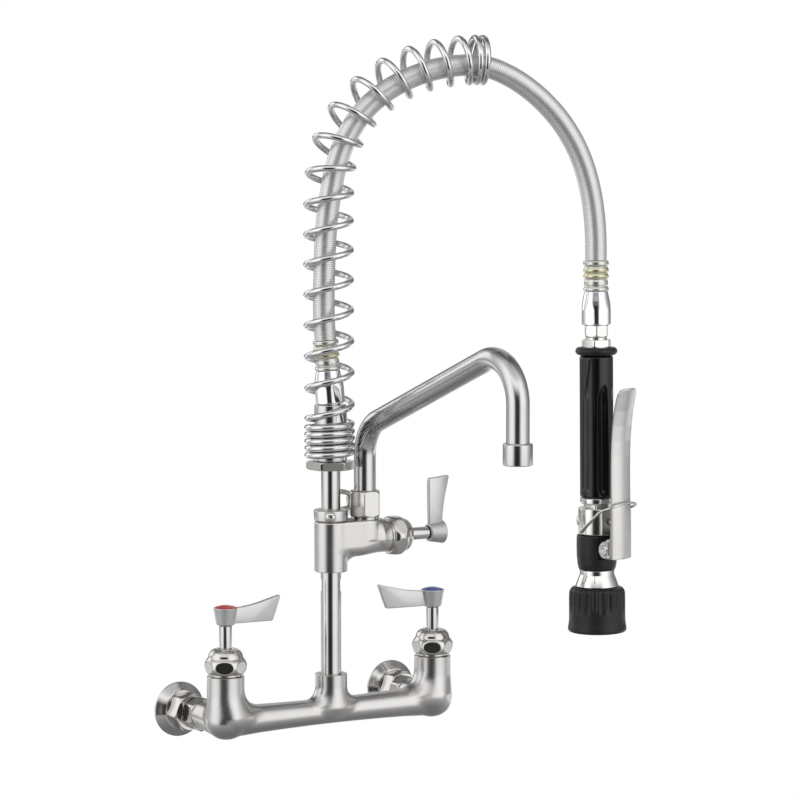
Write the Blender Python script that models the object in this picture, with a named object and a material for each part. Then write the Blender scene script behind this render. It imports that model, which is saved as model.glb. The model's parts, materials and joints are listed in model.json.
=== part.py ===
"""Wall mounted pre rinse faucet with a pot filler spout, an overhead spring and a trigger spray.

The origin is on the wall plane, midway between the two inlets and level with them.
+X runs to the right along the wall, +Y into the wall, -Y to the user and +Z up.
Driving dimensions and outlines are in millimetres; meshes are made in metres.
"""
import math

import bmesh
import bpy
from mathutils import Matrix, Vector

MM = 0.001                     # one millimetre in metres
GAP = 0.3                      # clearance between pieces that touch

# Where the main axes stand
INLET_TO_RISER = 77.8          # wall plane to the riser axis
VALVE_HALF_SPACING = 101.6     # half of the standard 8 inch valve centres
FLANGE_OFFSET = 3.8            # the wall fittings are eccentric, away from the middle
COLUMN_TOP = 39.4              # rim of the hot and cold valve columns
COLD_HANDLE_HEADING = 172.0    # the cold blade stands a little towards the wall
FILLER_AXIS_HEIGHT = 146.4     # axis of the pot filler valve, along +X
FILLER_ARM_END = 53.8          # riser axis to the rim of the pot filler valve
SPOUT_OFFSET = 33.6            # riser axis to the spout axis, along +X
SPOUT_REACH = 234.3            # spout axis to outlet axis
SPOUT_BOTTOM = 159.0           # lower end of the spout's tube in its seat
ARCH_HEADING = -20.0           # direction of the overhead arch, from +X about +Z
SPRAY_REACH = 230.7            # riser axis to the end of the hose
SPRAY_LEAN = 0.5               # the hanging spray leans outwards at its lower end
SPRAY_HEADING = -77.0          # direction in which the squeeze lever stands

# Body and inlets
TUBE_RADIUS = 9.8
COLUMN_RADIUS = 15.7
CENTRE_BOSS_RADIUS = 13.6
CENTRE_BOSS_TOP = 32.5
WATERWAY_RADIUS = 6.0
BODY_INLET_END = 38.2          # riser axis back to the end of the inlet bosses
BODY_INLET_RADIUS = 12.2
FLANGE_RADIUS = 23.4
FLANGE_DEPTH = 8.0
LOCKNUT_FLATS = 29.0
UNION_FLATS = 25.0
NIPPLE_RADIUS = 8.6

# Valves, heights from the rim of the valve seat
SEAT_RADIUS = 11.8
SEAT_DEPTH = 12.4
BONNET_BELT_RADIUS = 17.8
BONNET_FLATS = 32.2
STEM_RADIUS = 5.35
CARTRIDGE_RADIUS = 8.5
HUB_BOTTOM = 42.9
HUB_TOP = 57.4
HUB_TOP_RADIUS = 10.1
HUB_BOTTOM_RADIUS = 7.7
BLADE_THICKNESS = 4.4

# Riser, pot filler body and overhead spring
LOWER_RISER_RADIUS = 8.75
UPPER_RISER_RADIUS = 8.15
FILLER_BOTTOM = 119.9
FILLER_TOP = 162.5
FILLER_BOSS_RADIUS = 14.0
CLAMP_TOP = 172.8
COLLAR_BOTTOM = 206.8
COLLAR_TOP = 213.8
COLLAR_FLATS = 36.4
SLEEVE_RADIUS = 13.7
SLEEVE_TOP = 261.7
COIL_RADIUS = 18.8
SPRING_WIRE_RADIUS = 2.65
CLOSE_PITCH = 5.9
LOW_CLOSE_TURNS = 5.0
OPEN_TURNS = 16.2
HIGH_CLOSE_TURNS = 2.0
OPEN_PITCHES = [(0, 27.6), (4, 25.7), (7, 24.6), (9.4, 25.0), (11.2, 24.8), (12.6, 22.1),
                (16.2, 17.6)]          # turn, pitch
COIL_LEAN = 8.0                # each coil faces this far ahead along the arch
HOSE_RADIUS = 9.15
HOSE_START = 316.5
HOSE_TILT = 4.5                # the lower fitting leans away from the arch
HOSE_END = 381.4
HOSE_END_GAP = 0.7             # the hose leaves its ferrules at a slight angle

# Spout
SPOUT_RADIUS = 9.3
SPOUT_BORE = 7.6
SPOUT_RISE = 216.3             # height at which the tube starts to lean forwards
SPOUT_SLOPE = 20.3             # degrees above level
SPOUT_FIRST_BEND = 34.0
SPOUT_SECOND_BEND = 35.0
OUTLET_BOTTOM = 229.2
OUTLET_TOP = 247.0
OUTLET_RADIUS = 11.9

# Trigger spray
GRIP_RADIUS = 14.4
GRIP_BOTTOM = 177.6
GRIP_TOP = 299.9
HANDLE_TUBE_RADIUS = 9.0
VALVE_BODY_RADIUS = 15.9
VALVE_BODY_TOP = 168.9
SLEEVE_COVER_TOP = 145.5
SLEEVE_COVER_BOTTOM = 115.2
BUMPER_RADIUS = 25.3
BUMPER_BOTTOM = 61.1
LEVER_HALF_WIDTH = 12.8
LEVER_WALL = 2.2
EAR_RADIUS = 7.6
LUG_HALF_WIDTH = 9.0           # lug on the barrel that carries the lever
LUG_REACH = 25.4
LUG_LOW = 128.5
LUG_HIGH = 141.0
LEVER_PIVOT_REACH = 20.1
LEVER_PIVOT_HEIGHT = 134.3
PLUNGER_HEIGHT = 157.0
BAIL_PIVOT_REACH = -4.0
BAIL_PIVOT_HEIGHT = 148.2
BAIL_HALF_WIDTH = 17.4
BAIL_WIRE_RADIUS = 1.1

FINISHES = {                   # colour, roughness, metallic
    "brushed_steel": ((0.60, 0.58, 0.56), 0.30, 1.0),
    "chrome": ((0.80, 0.80, 0.82), 0.08, 1.0),
    "brass": ((0.72, 0.55, 0.25), 0.25, 1.0),
    "cast_lever": ((0.70, 0.68, 0.65), 0.38, 1.0),
    "black_rubber": ((0.02, 0.02, 0.022), 0.60, 0.0),
    "black_grip": ((0.012, 0.012, 0.015), 0.22, 0.0),
    "braided_hose": ((0.58, 0.58, 0.56), 0.42, 0.3),
    "ferrule": ((0.72, 0.70, 0.58), 0.25, 0.8),
    "hot_index": ((0.55, 0.02, 0.03), 0.35, 0.0),
    "cold_index": ((0.03, 0.12, 0.50), 0.35, 0.0),
}


# ---------------------------------------------------------------- tools

def clear_scene():
    for item in list(bpy.data.objects):
        bpy.data.objects.remove(item, do_unlink=True)


def new_material(name, finish):
    colour, roughness, metallic = FINISHES[finish]
    material = bpy.data.materials.new(name)
    material.use_nodes = True
    shader = material.node_tree.nodes["Principled BSDF"]
    shader.inputs["Base Color"].default_value = (*colour, 1.0)
    shader.inputs["Roughness"].default_value = roughness
    shader.inputs["Metallic"].default_value = metallic
    material.diffuse_color = (*colour, 1.0)
    return material


def frame(name, location=(0, 0, 0), heading=0.0, parent=None, tip=0.0):
    """An empty that carries a group of pieces; tip turns its local +Z towards its +X."""
    empty = bpy.data.objects.new(name, None)
    bpy.context.collection.objects.link(empty)
    empty.parent = parent
    empty.location = Vector(location) * MM
    empty.rotation_euler = (0.0, math.radians(tip), math.radians(heading))
    return empty


def add_object(name, mesh_builder, finish, parent):
    """Turn a bmesh into a named object with its own material."""
    bmesh.ops.recalc_face_normals(mesh_builder, faces=mesh_builder.faces)
    mesh = bpy.data.meshes.new(name)
    mesh_builder.to_mesh(mesh)
    mesh_builder.free()
    mesh.shade_smooth()
    mesh.set_sharp_from_angle(angle=math.radians(35))
    item = bpy.data.objects.new(name, mesh)
    bpy.context.collection.objects.link(item)
    item.parent = parent
    if finish:
        mesh.materials.append(new_material(name, finish))
    return item


def lathe(outline, segments=20):
    """Turn (radius, height) points about Z; an outline that starts on the axis is a solid."""
    builder = bmesh.new()
    points = [builder.verts.new((radius * MM, 0.0, height * MM)) for radius, height in outline]
    closed = outline[0][0] > 0.0
    following = points[1:] + points[:1] if closed else points[1:]
    edges = [builder.edges.new(pair) for pair in zip(points, following)]
    bmesh.ops.spin(builder, geom=points + edges, cent=(0, 0, 0), axis=(0, 0, 1),
                   angle=math.tau, steps=segments, use_merge=True)
    bmesh.ops.remove_doubles(builder, verts=builder.verts, dist=1e-6)
    for index, height in ((0, outline[0][1]), (-1, outline[-1][1])):
        flat = not closed and outline[index][1] == outline[(1, -2)[index]][1]
        hubs = [vert for vert in builder.verts
                if flat and vert.co.xy.length < 1e-6 and abs(vert.co.z - height * MM) < 1e-6]
        bmesh.ops.dissolve_verts(builder, verts=hubs)
    return builder


def cylinder(radius, low, high, segments=16):
    return lathe([(0, low), (radius, low), (radius, high), (0, high)], segments)


def prism(outline, low, high, plane="XY"):
    """Extrude a polygon; plane XZ takes (x, z) points and extrudes along Y."""
    builder = bmesh.new()
    if plane == "XY":
        corners = [Vector((a, b, low)) for a, b in outline]
        depth = Vector((0, 0, high - low))
    else:
        corners = [Vector((a, low, b)) for a, b in outline]
        depth = Vector((0, high - low, 0))
    face = builder.faces.new([builder.verts.new(corner * MM) for corner in corners])
    extruded = bmesh.ops.extrude_face_region(builder, geom=[face])["geom"]
    moved = [item for item in extruded if isinstance(item, bmesh.types.BMVert)]
    bmesh.ops.translate(builder, verts=moved, vec=depth * MM)
    return builder


def hexagon(across_flats, turn=0.0):
    radius = across_flats / math.sqrt(3)
    angles = [math.radians(turn + 60 * corner) for corner in range(6)]
    return [(radius * math.cos(angle), radius * math.sin(angle)) for angle in angles]


def arc(centre, radius, start, end, steps):
    """Points on a circle, angles in degrees."""
    turns = [math.radians(start + (end - start) * step / steps) for step in range(steps + 1)]
    return [(centre[0] + radius * math.cos(turn), centre[1] + radius * math.sin(turn))
            for turn in turns]


def box(low, high):
    corners = [(low[0], low[1]), (high[0], low[1]), (high[0], high[1]), (low[0], high[1])]
    return prism(corners, low[2], high[2])


def turned_to(builder, direction, offset=(0, 0, 0)):
    """Point the mesh's +Z along a direction, then move it."""
    spin = Vector((0, 0, 1)).rotation_difference(Vector(direction)).to_matrix().to_4x4()
    bmesh.ops.transform(builder, matrix=Matrix.Translation(Vector(offset) * MM) @ spin,
                        verts=builder.verts)
    return builder


def combine(target, builder, operation):
    """Cut, join or intersect the target with a hidden tool shape."""
    count = len(target.modifiers) + 1
    tool = add_object(f"{target.name}_tool_{count}", builder, None, target.parent)
    tool.hide_render = True
    tool.display_type = "WIRE"
    modifier = target.modifiers.new(f"{operation.lower()}_{count}", "BOOLEAN")
    modifier.object = tool
    modifier.operation = operation
    modifier.solver = "EXACT"
    return target


def hex_piece(name, outline, across_flats, finish, parent, turn=0.0, segments=18):
    """A turned piece with six flats milled on its widest part."""
    piece = add_object(name, lathe(outline, segments), finish, parent)
    heights = [height for _, height in outline]
    sides = prism(hexagon(across_flats, turn), min(heights) - 5, max(heights) + 5)
    return combine(piece, sides, "INTERSECT")


def smooth_route(points, spacing):
    """Evenly spaced points on a smooth curve through a route's own points."""
    ends = [points[0] * 2 - points[1]] + list(points) + [points[-1] * 2 - points[-2]]
    fine = []
    steps = 24
    for index in range(1, len(ends) - 2):
        before, start, end, after = ends[index - 1:index + 3]
        for step in range(steps):
            t = step / steps
            fine.append(0.5 * (2 * start + (end - before) * t
                               + (2 * before - 5 * start + 4 * end - after) * t * t
                               + (3 * start - before - 3 * end + after) * t * t * t))
    fine.append(points[-1])
    lengths = [0.0]
    for first, second in zip(fine, fine[1:]):
        lengths.append(lengths[-1] + (second - first).length)
    count = max(2, round(lengths[-1] / spacing))
    even = []
    index = 0
    for number in range(count + 1):
        wanted = lengths[-1] * number / count
        while index < len(fine) - 2 and lengths[index + 1] < wanted:
            index += 1
        span = lengths[index + 1] - lengths[index]
        even.append(fine[index].lerp(fine[index + 1], (wanted - lengths[index]) / span))
    return even


def pipe(points, outer, inner=0.0, sides=8):
    """A round bar, or a tube if it has an inner radius, along a path of points."""
    builder = bmesh.new()
    path = [Vector(point) for point in points]
    tangents = [(after - before).normalized()
                for before, after in zip([path[0]] + path[:-1], path[1:] + [path[-1]])]
    side = tangents[0].orthogonal().normalized()
    rings = []
    for point, tangent in zip(path, tangents):
        side = (side - tangent * side.dot(tangent)).normalized()
        other = tangent.cross(side)
        ring = []
        for radius in ([outer, inner] if inner else [outer]):
            for number in range(sides):
                angle = math.tau * number / sides
                offset = side * (radius * math.cos(angle)) + other * (radius * math.sin(angle))
                ring.append(builder.verts.new((point + offset) * MM))
        rings.append(ring)
    walls = [0, sides] if inner else [0]
    for first, second in zip(rings, rings[1:]):
        for start in walls:
            for number in range(sides):
                here, there = start + number, start + (number + 1) % sides
                builder.faces.new((first[here], first[there], second[there], second[here]))
    for ring in (rings[0], rings[-1]):
        if inner:
            for number in range(sides):
                there = (number + 1) % sides
                builder.faces.new((ring[number], ring[there], ring[sides + there],
                                   ring[sides + number]))
        else:
            builder.faces.new(ring)
    return builder


# ---------------------------------------------------------------- body and inlets

def mixer_body(riser):
    """Two valve columns on a cross tube, with a boss for the riser and two rear inlets."""
    tube_end = VALVE_HALF_SPACING - 4.0
    half_tube = [(TUBE_RADIUS, 20), (10.9, 50), (11.9, 71), (13.0, 86), (14.0, tube_end),
                 (0, tube_end)]
    tube = [(radius, -reach) for radius, reach in half_tube[::-1]] + half_tube
    body = add_object("mixer_body", turned_to(lathe(tube, 20), (1, 0, 0)), "brushed_steel", riser)
    boss = [(0, -5), (12.0, -5), (15.0, 5), (14.2, 13), (CENTRE_BOSS_RADIUS, 21),
            (CENTRE_BOSS_RADIUS, CENTRE_BOSS_TOP), (0, CENTRE_BOSS_TOP)]
    combine(body, lathe(boss, 22), "UNION")
    column = ([(0, -14.3)] + arc((0.0, 2.7), 17.0, -66, -8, 3)
              + [(16.2, 12), (COLUMN_RADIUS, 24), (COLUMN_RADIUS, COLUMN_TOP), (0, COLUMN_TOP)])
    for side in (-1, 1):
        place = (side * VALVE_HALF_SPACING, 0, 0)
        combine(body, turned_to(lathe(column, 24), (0, 0, 1), place), "UNION")
        inlet_boss = [(0, 3), (14.2, 3), (BODY_INLET_RADIUS, 26),
                      (BODY_INLET_RADIUS, BODY_INLET_END), (0, BODY_INLET_END)]
        combine(body, turned_to(lathe(inlet_boss, 18), (0, 1, 0), place), "UNION")
    waterway = cylinder(WATERWAY_RADIUS, 1.0 - VALVE_HALF_SPACING, VALVE_HALF_SPACING - 1.0, 12)
    combine(body, turned_to(waterway, (1, 0, 0)), "DIFFERENCE")
    riser_socket = [(0, 0), (WATERWAY_RADIUS - 0.5, 0), (WATERWAY_RADIUS - 0.5, 14),
                    (LOWER_RISER_RADIUS + GAP, 14), (LOWER_RISER_RADIUS + GAP, 40), (0, 40)]
    combine(body, lathe(riser_socket, 18), "DIFFERENCE")
    seat_floor = COLUMN_TOP - SEAT_DEPTH
    seat = [(0, -5.2), (7.0, -5.2), (7.0, seat_floor), (SEAT_RADIUS, seat_floor),
            (SEAT_RADIUS, 45), (0, 45)]
    for side in (-1, 1):
        place = (side * VALVE_HALF_SPACING, 0, 0)
        combine(body, turned_to(lathe(seat, 18), (0, 0, 1), place), "DIFFERENCE")
        bore = cylinder(WATERWAY_RADIUS + 0.4, 2.0, 45, 12)
        combine(body, turned_to(bore, (0, 1, 0), place), "DIFFERENCE")
    return body


def inlet(side_name, side, wall):
    """One supply: wall flange, eccentric nipple, locknut and union nut, from wall to body."""
    axis = frame(f"{side_name}_inlet_axis", (side * VALVE_HALF_SPACING, 0, 0), parent=wall)
    wall_axis = frame(f"{side_name}_flange_axis", (side * FLANGE_OFFSET, 0, 0), parent=axis)
    out = (0, -1, 0)           # away from the wall
    body_face = INLET_TO_RISER - BODY_INLET_END
    clear = NIPPLE_RADIUS + GAP
    flange = [(clear, 0), (FLANGE_RADIUS - 0.6, 0), (FLANGE_RADIUS, 0.8), (FLANGE_RADIUS, 1.8),
              (19.5, 5.2), (17.0, FLANGE_DEPTH), (clear, FLANGE_DEPTH)]
    add_object(f"wall_flange_{side_name}", turned_to(lathe(flange, 24), out),
               "brushed_steel", wall_axis)
    bore, neck_radius, head_radius = 5.2, 8.0, 9.6
    step, nipple_end = 25.6, body_face - GAP
    tail = [(bore, 0), (NIPPLE_RADIUS, 0), (NIPPLE_RADIUS, step), (bore, step)]
    nipple = add_object(f"supply_nipple_{side_name}", turned_to(lathe(tail, 16), out), "brass",
                        wall_axis)
    head_low = nipple_end - 5.0
    head = [(0, step - 0.5), (neck_radius, step - 0.5), (neck_radius, head_low),
            (head_radius, head_low), (head_radius, nipple_end), (0, nipple_end)]
    back = (-side * FLANGE_OFFSET, 0, 0)
    combine(nipple, turned_to(lathe(head, 16), out, back), "UNION")
    combine(nipple, turned_to(cylinder(bore - 0.4, step - 3, body_face + 3, 14), out, back),
            "DIFFERENCE")
    low, high = FLANGE_DEPTH + GAP, step - 0.8
    corner = LOCKNUT_FLATS / math.sqrt(3)
    locknut = [(clear, low), (corner - 1.4, low), (corner, low + 1.6), (corner, high - 1.6),
               (corner - 1.4, high), (clear, high)]
    hex_nut_on(f"flange_locknut_{side_name}", locknut, LOCKNUT_FLATS, out, wall_axis, 8.0)
    low, high = step + GAP, body_face - GAP
    corner = UNION_FLATS / math.sqrt(3)
    union = [(neck_radius + GAP, low), (corner - 1.2, low), (corner, low + 1.4),
             (corner, high - 1.7), (corner - 1.2, high), (head_radius + GAP, high),
             (head_radius + GAP, head_low - GAP), (neck_radius + GAP, head_low - GAP)]
    hex_nut_on(f"union_nut_{side_name}", union, UNION_FLATS, out, axis, 22.0)


def hex_nut_on(name, outline, across_flats, direction, parent, turn):
    """A hexagon nut whose axis lies along a direction."""
    nut = add_object(name, turned_to(lathe(outline, 18), direction), "brushed_steel", parent)
    heights = [height for _, height in outline]
    sides = prism(hexagon(across_flats, turn), min(heights) - 2, max(heights) + 2)
    return combine(nut, turned_to(sides, direction), "INTERSECT")


# ---------------------------------------------------------------- valves

def bonnet(name, axis):
    """Domed nut with six oval flats; its skirt screws into the seat and holds the cartridge."""
    belt_middle, belt_half = 8.6, 6.5
    belt = arc((BONNET_BELT_RADIUS - 9.0, belt_middle), 9.0, -46, 46, 4)
    dome = [(14.5, belt_middle + belt_half + 0.3), (14.0, 18.4), (11.6, 21.9), (8.4, 23.1)]
    skirt = SEAT_RADIUS - GAP
    outline = ([(8.8, -11.0), (skirt, -11.0), (skirt, GAP), (13.5, GAP), (13.5, 2.1)]
               + belt + dome
               + [(STEM_RADIUS + GAP, 23.1), (STEM_RADIUS + GAP, 12.2), (8.8, 12.2)])
    return hex_piece(name, outline, BONNET_FLATS, "brushed_steel", axis, turn=-31.5 - 30)


def valve(label, axis, blade_heading, index_finish=None):
    """A quarter turn valve on a local axis whose zero height is the rim of its seat."""
    bonnet(f"bonnet_nut_{label}", axis)
    low = GAP - SEAT_DEPTH
    cartridge = [(3.4, low), (CARTRIDGE_RADIUS, low), (CARTRIDGE_RADIUS, 11.9), (3.4, 11.9)]
    add_object(f"cartridge_{label}", lathe(cartridge, 14), "brass", axis)
    handle_axis = frame(f"handle_axis_{label}", heading=blade_heading, parent=axis)
    shoulder = 12.5
    stem = [(0, -6), (3.1, -6), (3.1, shoulder), (STEM_RADIUS, shoulder),
            (STEM_RADIUS, HUB_BOTTOM + 1.0), (4.2, HUB_BOTTOM + 1.0), (4.2, HUB_BOTTOM + 9.0),
            (1.9, HUB_BOTTOM + 9.0), (1.9, HUB_BOTTOM - 2.0), (0, HUB_BOTTOM - 2.0)]
    add_object(f"stem_{label}", lathe(stem, 14), "brushed_steel", handle_axis)
    handle(f"handle_{label}", handle_axis)
    head_bottom = HUB_TOP - 4.2
    screw = [(0, HUB_BOTTOM), (1.6, HUB_BOTTOM), (1.6, head_bottom), (3.6, head_bottom),
             (3.6, head_bottom + 2.2), (1.2, head_bottom + 2.2), (1.2, head_bottom + 1.0),
             (0, head_bottom + 1.0)]
    add_object(f"handle_screw_{label}", lathe(screw, 10), "brushed_steel", handle_axis)
    if index_finish:
        low = HUB_TOP - 1.0
        disc = [(0, low), (8.9, low), (8.9, HUB_TOP + 0.3), (6.2, HUB_TOP + 1.3),
                (0, HUB_TOP + 1.8)]
        add_object(f"index_disc_{label}", lathe(disc, 18), index_finish, handle_axis)


def handle(name, axis):
    """A conical hub with a flat blade that flares towards its tip along local +X."""
    hub = [(0, HUB_BOTTOM), (HUB_BOTTOM_RADIUS, HUB_BOTTOM), (HUB_TOP_RADIUS, HUB_TOP), (0, HUB_TOP)]
    piece = add_object(name, lathe(hub, 20), "brushed_steel", axis)
    blade = [(4.0, HUB_BOTTOM + 0.8), (43.5, HUB_BOTTOM + 1.4), (49.8, HUB_BOTTOM + 18.5),
             (20.0, HUB_TOP - 0.6), (4.0, HUB_TOP - 0.8)]
    combine(piece, prism(blade, -BLADE_THICKNESS / 2, BLADE_THICKNESS / 2, "XZ"), "UNION")
    pocket = HUB_TOP - 4.5
    bore = [(0, HUB_BOTTOM - 2), (STEM_RADIUS + GAP, HUB_BOTTOM - 2),
            (STEM_RADIUS + GAP, HUB_BOTTOM + 1.0 + GAP), (4.5, HUB_BOTTOM + 1.0 + GAP),
            (4.5, HUB_BOTTOM + 9.0 + GAP), (2.1, HUB_BOTTOM + 9.0 + GAP), (2.1, pocket),
            (3.9, pocket), (3.9, HUB_TOP - 1.3), (9.2, HUB_TOP - 1.3), (9.2, HUB_TOP + 4),
            (0, HUB_TOP + 4)]
    return combine(piece, lathe(bore, 14), "DIFFERENCE")


# ---------------------------------------------------------------- riser and pot filler

def lower_riser(riser):
    """Pipe from the body to the pot filler, with two wrench flats near its top."""
    low, high = 14.0 + GAP, FILLER_BOTTOM + 12.0
    tube = [(WATERWAY_RADIUS, low), (LOWER_RISER_RADIUS, low), (LOWER_RISER_RADIUS, high),
            (WATERWAY_RADIUS, high)]
    piece = add_object("lower_riser", lathe(tube, 18), "brushed_steel", riser)
    flats_low, flats_high, half_flats = 102.8, 113.9, 7.9
    for side in (-1, 1):
        facing = math.radians(-31.5)
        corners = [Vector((side * half_flats, -12)), Vector((side * 12, -12)),
                   Vector((side * 12, 12)), Vector((side * half_flats, 12))]
        turned = [(point.x * math.cos(facing) - point.y * math.sin(facing),
                   point.x * math.sin(facing) + point.y * math.cos(facing)) for point in corners]
        combine(piece, prism(turned, flats_low, flats_high), "DIFFERENCE")


def filler_body(riser):
    """Casting with the riser boss, the valve arm along +X and a seat for the spout."""
    boss = [(0, FILLER_BOTTOM), (13.4, FILLER_BOTTOM), (FILLER_BOSS_RADIUS, FILLER_BOTTOM + 1.4),
            (FILLER_BOSS_RADIUS, FILLER_TOP), (0, FILLER_TOP)]
    body = add_object("filler_body", lathe(boss, 24), "brushed_steel", riser)
    centre = (0, 0, FILLER_AXIS_HEIGHT)
    arm = [(0, 0), (15.0, 0), (15.0, 38), (14.4, 46), (13.6, FILLER_ARM_END), (0, FILLER_ARM_END)]
    combine(body, turned_to(lathe(arm, 24), (1, 0, 0), centre), "UNION")
    seat_radius = 14.2
    seat = cylinder(seat_radius, FILLER_AXIS_HEIGHT, FILLER_TOP - 0.4, 24)
    combine(body, turned_to(seat, (0, 0, 1), (SPOUT_OFFSET, 0, 0)), "UNION")
    bridge = box((0, -seat_radius + 0.4, FILLER_AXIS_HEIGHT),
                 (SPOUT_OFFSET, seat_radius - 0.4, FILLER_TOP - 0.8))
    combine(body, bridge, "UNION")
    lower_socket = FILLER_BOTTOM + 12.0 + GAP
    upper_socket = FILLER_TOP - 12.0
    passage = [(0, FILLER_BOTTOM - 3), (LOWER_RISER_RADIUS + GAP, FILLER_BOTTOM - 3),
               (LOWER_RISER_RADIUS + GAP, lower_socket), (WATERWAY_RADIUS, lower_socket),
               (WATERWAY_RADIUS, upper_socket), (UPPER_RISER_RADIUS + GAP, upper_socket),
               (UPPER_RISER_RADIUS + GAP, FILLER_TOP + 3), (0, FILLER_TOP + 3)]
    combine(body, lathe(passage, 16), "DIFFERENCE")
    seat_depth = FILLER_ARM_END - SEAT_DEPTH
    valve_bore = [(0, 4), (5.0, 4), (5.0, seat_depth), (SEAT_RADIUS, seat_depth),
                  (SEAT_RADIUS, FILLER_ARM_END + 3), (0, FILLER_ARM_END + 3)]
    combine(body, turned_to(lathe(valve_bore, 16), (1, 0, 0), centre), "DIFFERENCE")
    socket = SPOUT_BOTTOM - GAP
    spout_bore = [(0, FILLER_AXIS_HEIGHT), (4.6, FILLER_AXIS_HEIGHT), (4.6, socket),
                  (SPOUT_RADIUS + GAP, socket), (SPOUT_RADIUS + GAP, FILLER_TOP + 3),
                  (0, FILLER_TOP + 3)]
    combine(body, turned_to(lathe(spout_bore, 16), (0, 0, 1), (SPOUT_OFFSET, 0, 0)), "DIFFERENCE")


def hook_bracket(riser):
    """Split clamp on the upper riser, its screw, and the rod hook that it carries."""
    low = FILLER_TOP + GAP
    ring = [(UPPER_RISER_RADIUS + GAP, low), (13.6, low), (14.4, low + 0.8),
            (14.4, CLAMP_TOP - 0.8), (13.6, CLAMP_TOP), (UPPER_RISER_RADIUS + GAP, CLAMP_TOP)]
    clamp = add_object("hook_clamp", lathe(ring, 20), "brushed_steel", riser)
    strap_heading = 36.0
    strap = box((11.0, -2.0, low + 1.2), (41.0, 2.0, CLAMP_TOP - 0.8))
    bmesh.ops.rotate(strap, verts=strap.verts, cent=(0, 0, 0),
                     matrix=Matrix.Rotation(math.radians(strap_heading), 3, "Z"))
    combine(clamp, strap, "UNION")
    slot = box((5.0, -0.9, low - 2), (18.0, 0.9, CLAMP_TOP + 2))
    bmesh.ops.rotate(slot, verts=slot.verts, cent=(0, 0, 0),
                     matrix=Matrix.Rotation(math.radians(-171.0), 3, "Z"))
    combine(clamp, slot, "DIFFERENCE")
    facing = math.radians(-121.0)
    outward = Vector((math.cos(facing), math.sin(facing), 0))
    middle = (0, 0, (low + CLAMP_TOP) / 2)
    combine(clamp, turned_to(cylinder(2.2, 4.0, 20.0, 12), outward, middle), "DIFFERENCE")
    screw = [(0, 8.9), (1.9, 8.9), (1.9, 14.8), (3.9, 14.8), (3.9, 16.2), (3.0, 17.2),
             (1.3, 17.2), (1.3, 16.0), (0, 16.0)]
    add_object("hook_clamp_screw", turned_to(lathe(screw, 10), outward, middle),
               "brushed_steel", riser)
    strap_end = Matrix.Rotation(math.radians(strap_heading), 2) @ Vector((38.0, 0.0))
    rod_radius = 2.2
    route = [Vector((strap_end.x, strap_end.y, CLAMP_TOP - 0.8 + GAP)),
             Vector((strap_end.x, strap_end.y, 177.0)), Vector((29.0, 20.0, 182.5)),
             Vector((17.0, 17.5, 185.5)), Vector((2.0, 16.0, 189.0))]
    add_object("spray_hook", pipe(smooth_route(route, 4.5), rod_radius, sides=8),
               "brushed_steel", riser)


def upper_riser(riser):
    low, high = FILLER_TOP - 12.0 + GAP, 249.0
    tube = [(WATERWAY_RADIUS, low), (UPPER_RISER_RADIUS, low), (UPPER_RISER_RADIUS, high),
            (WATERWAY_RADIUS, high)]
    add_object("upper_riser", lathe(tube, 18), "brushed_steel", riser)
    corner = COLLAR_FLATS / math.sqrt(3)
    collar = [(UPPER_RISER_RADIUS + GAP, COLLAR_BOTTOM), (corner - 1.2, COLLAR_BOTTOM),
              (corner, COLLAR_BOTTOM + 1.0), (corner, COLLAR_TOP - 0.8),
              (corner - 0.8, COLLAR_TOP), (UPPER_RISER_RADIUS + GAP, COLLAR_TOP)]
    hex_piece("spring_collar", collar, COLLAR_FLATS, "brushed_steel", riser, turn=-24.0)
    low = COLLAR_TOP + GAP
    sleeve = [(UPPER_RISER_RADIUS + GAP, low), (SLEEVE_RADIUS, low), (SLEEVE_RADIUS, SLEEVE_TOP),
              (9.3, SLEEVE_TOP), (9.3, 249.4), (UPPER_RISER_RADIUS + GAP, 249.4)]
    add_object("swivel_sleeve", lathe(sleeve, 20), "brushed_steel", riser)


# ---------------------------------------------------------------- spout

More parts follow.
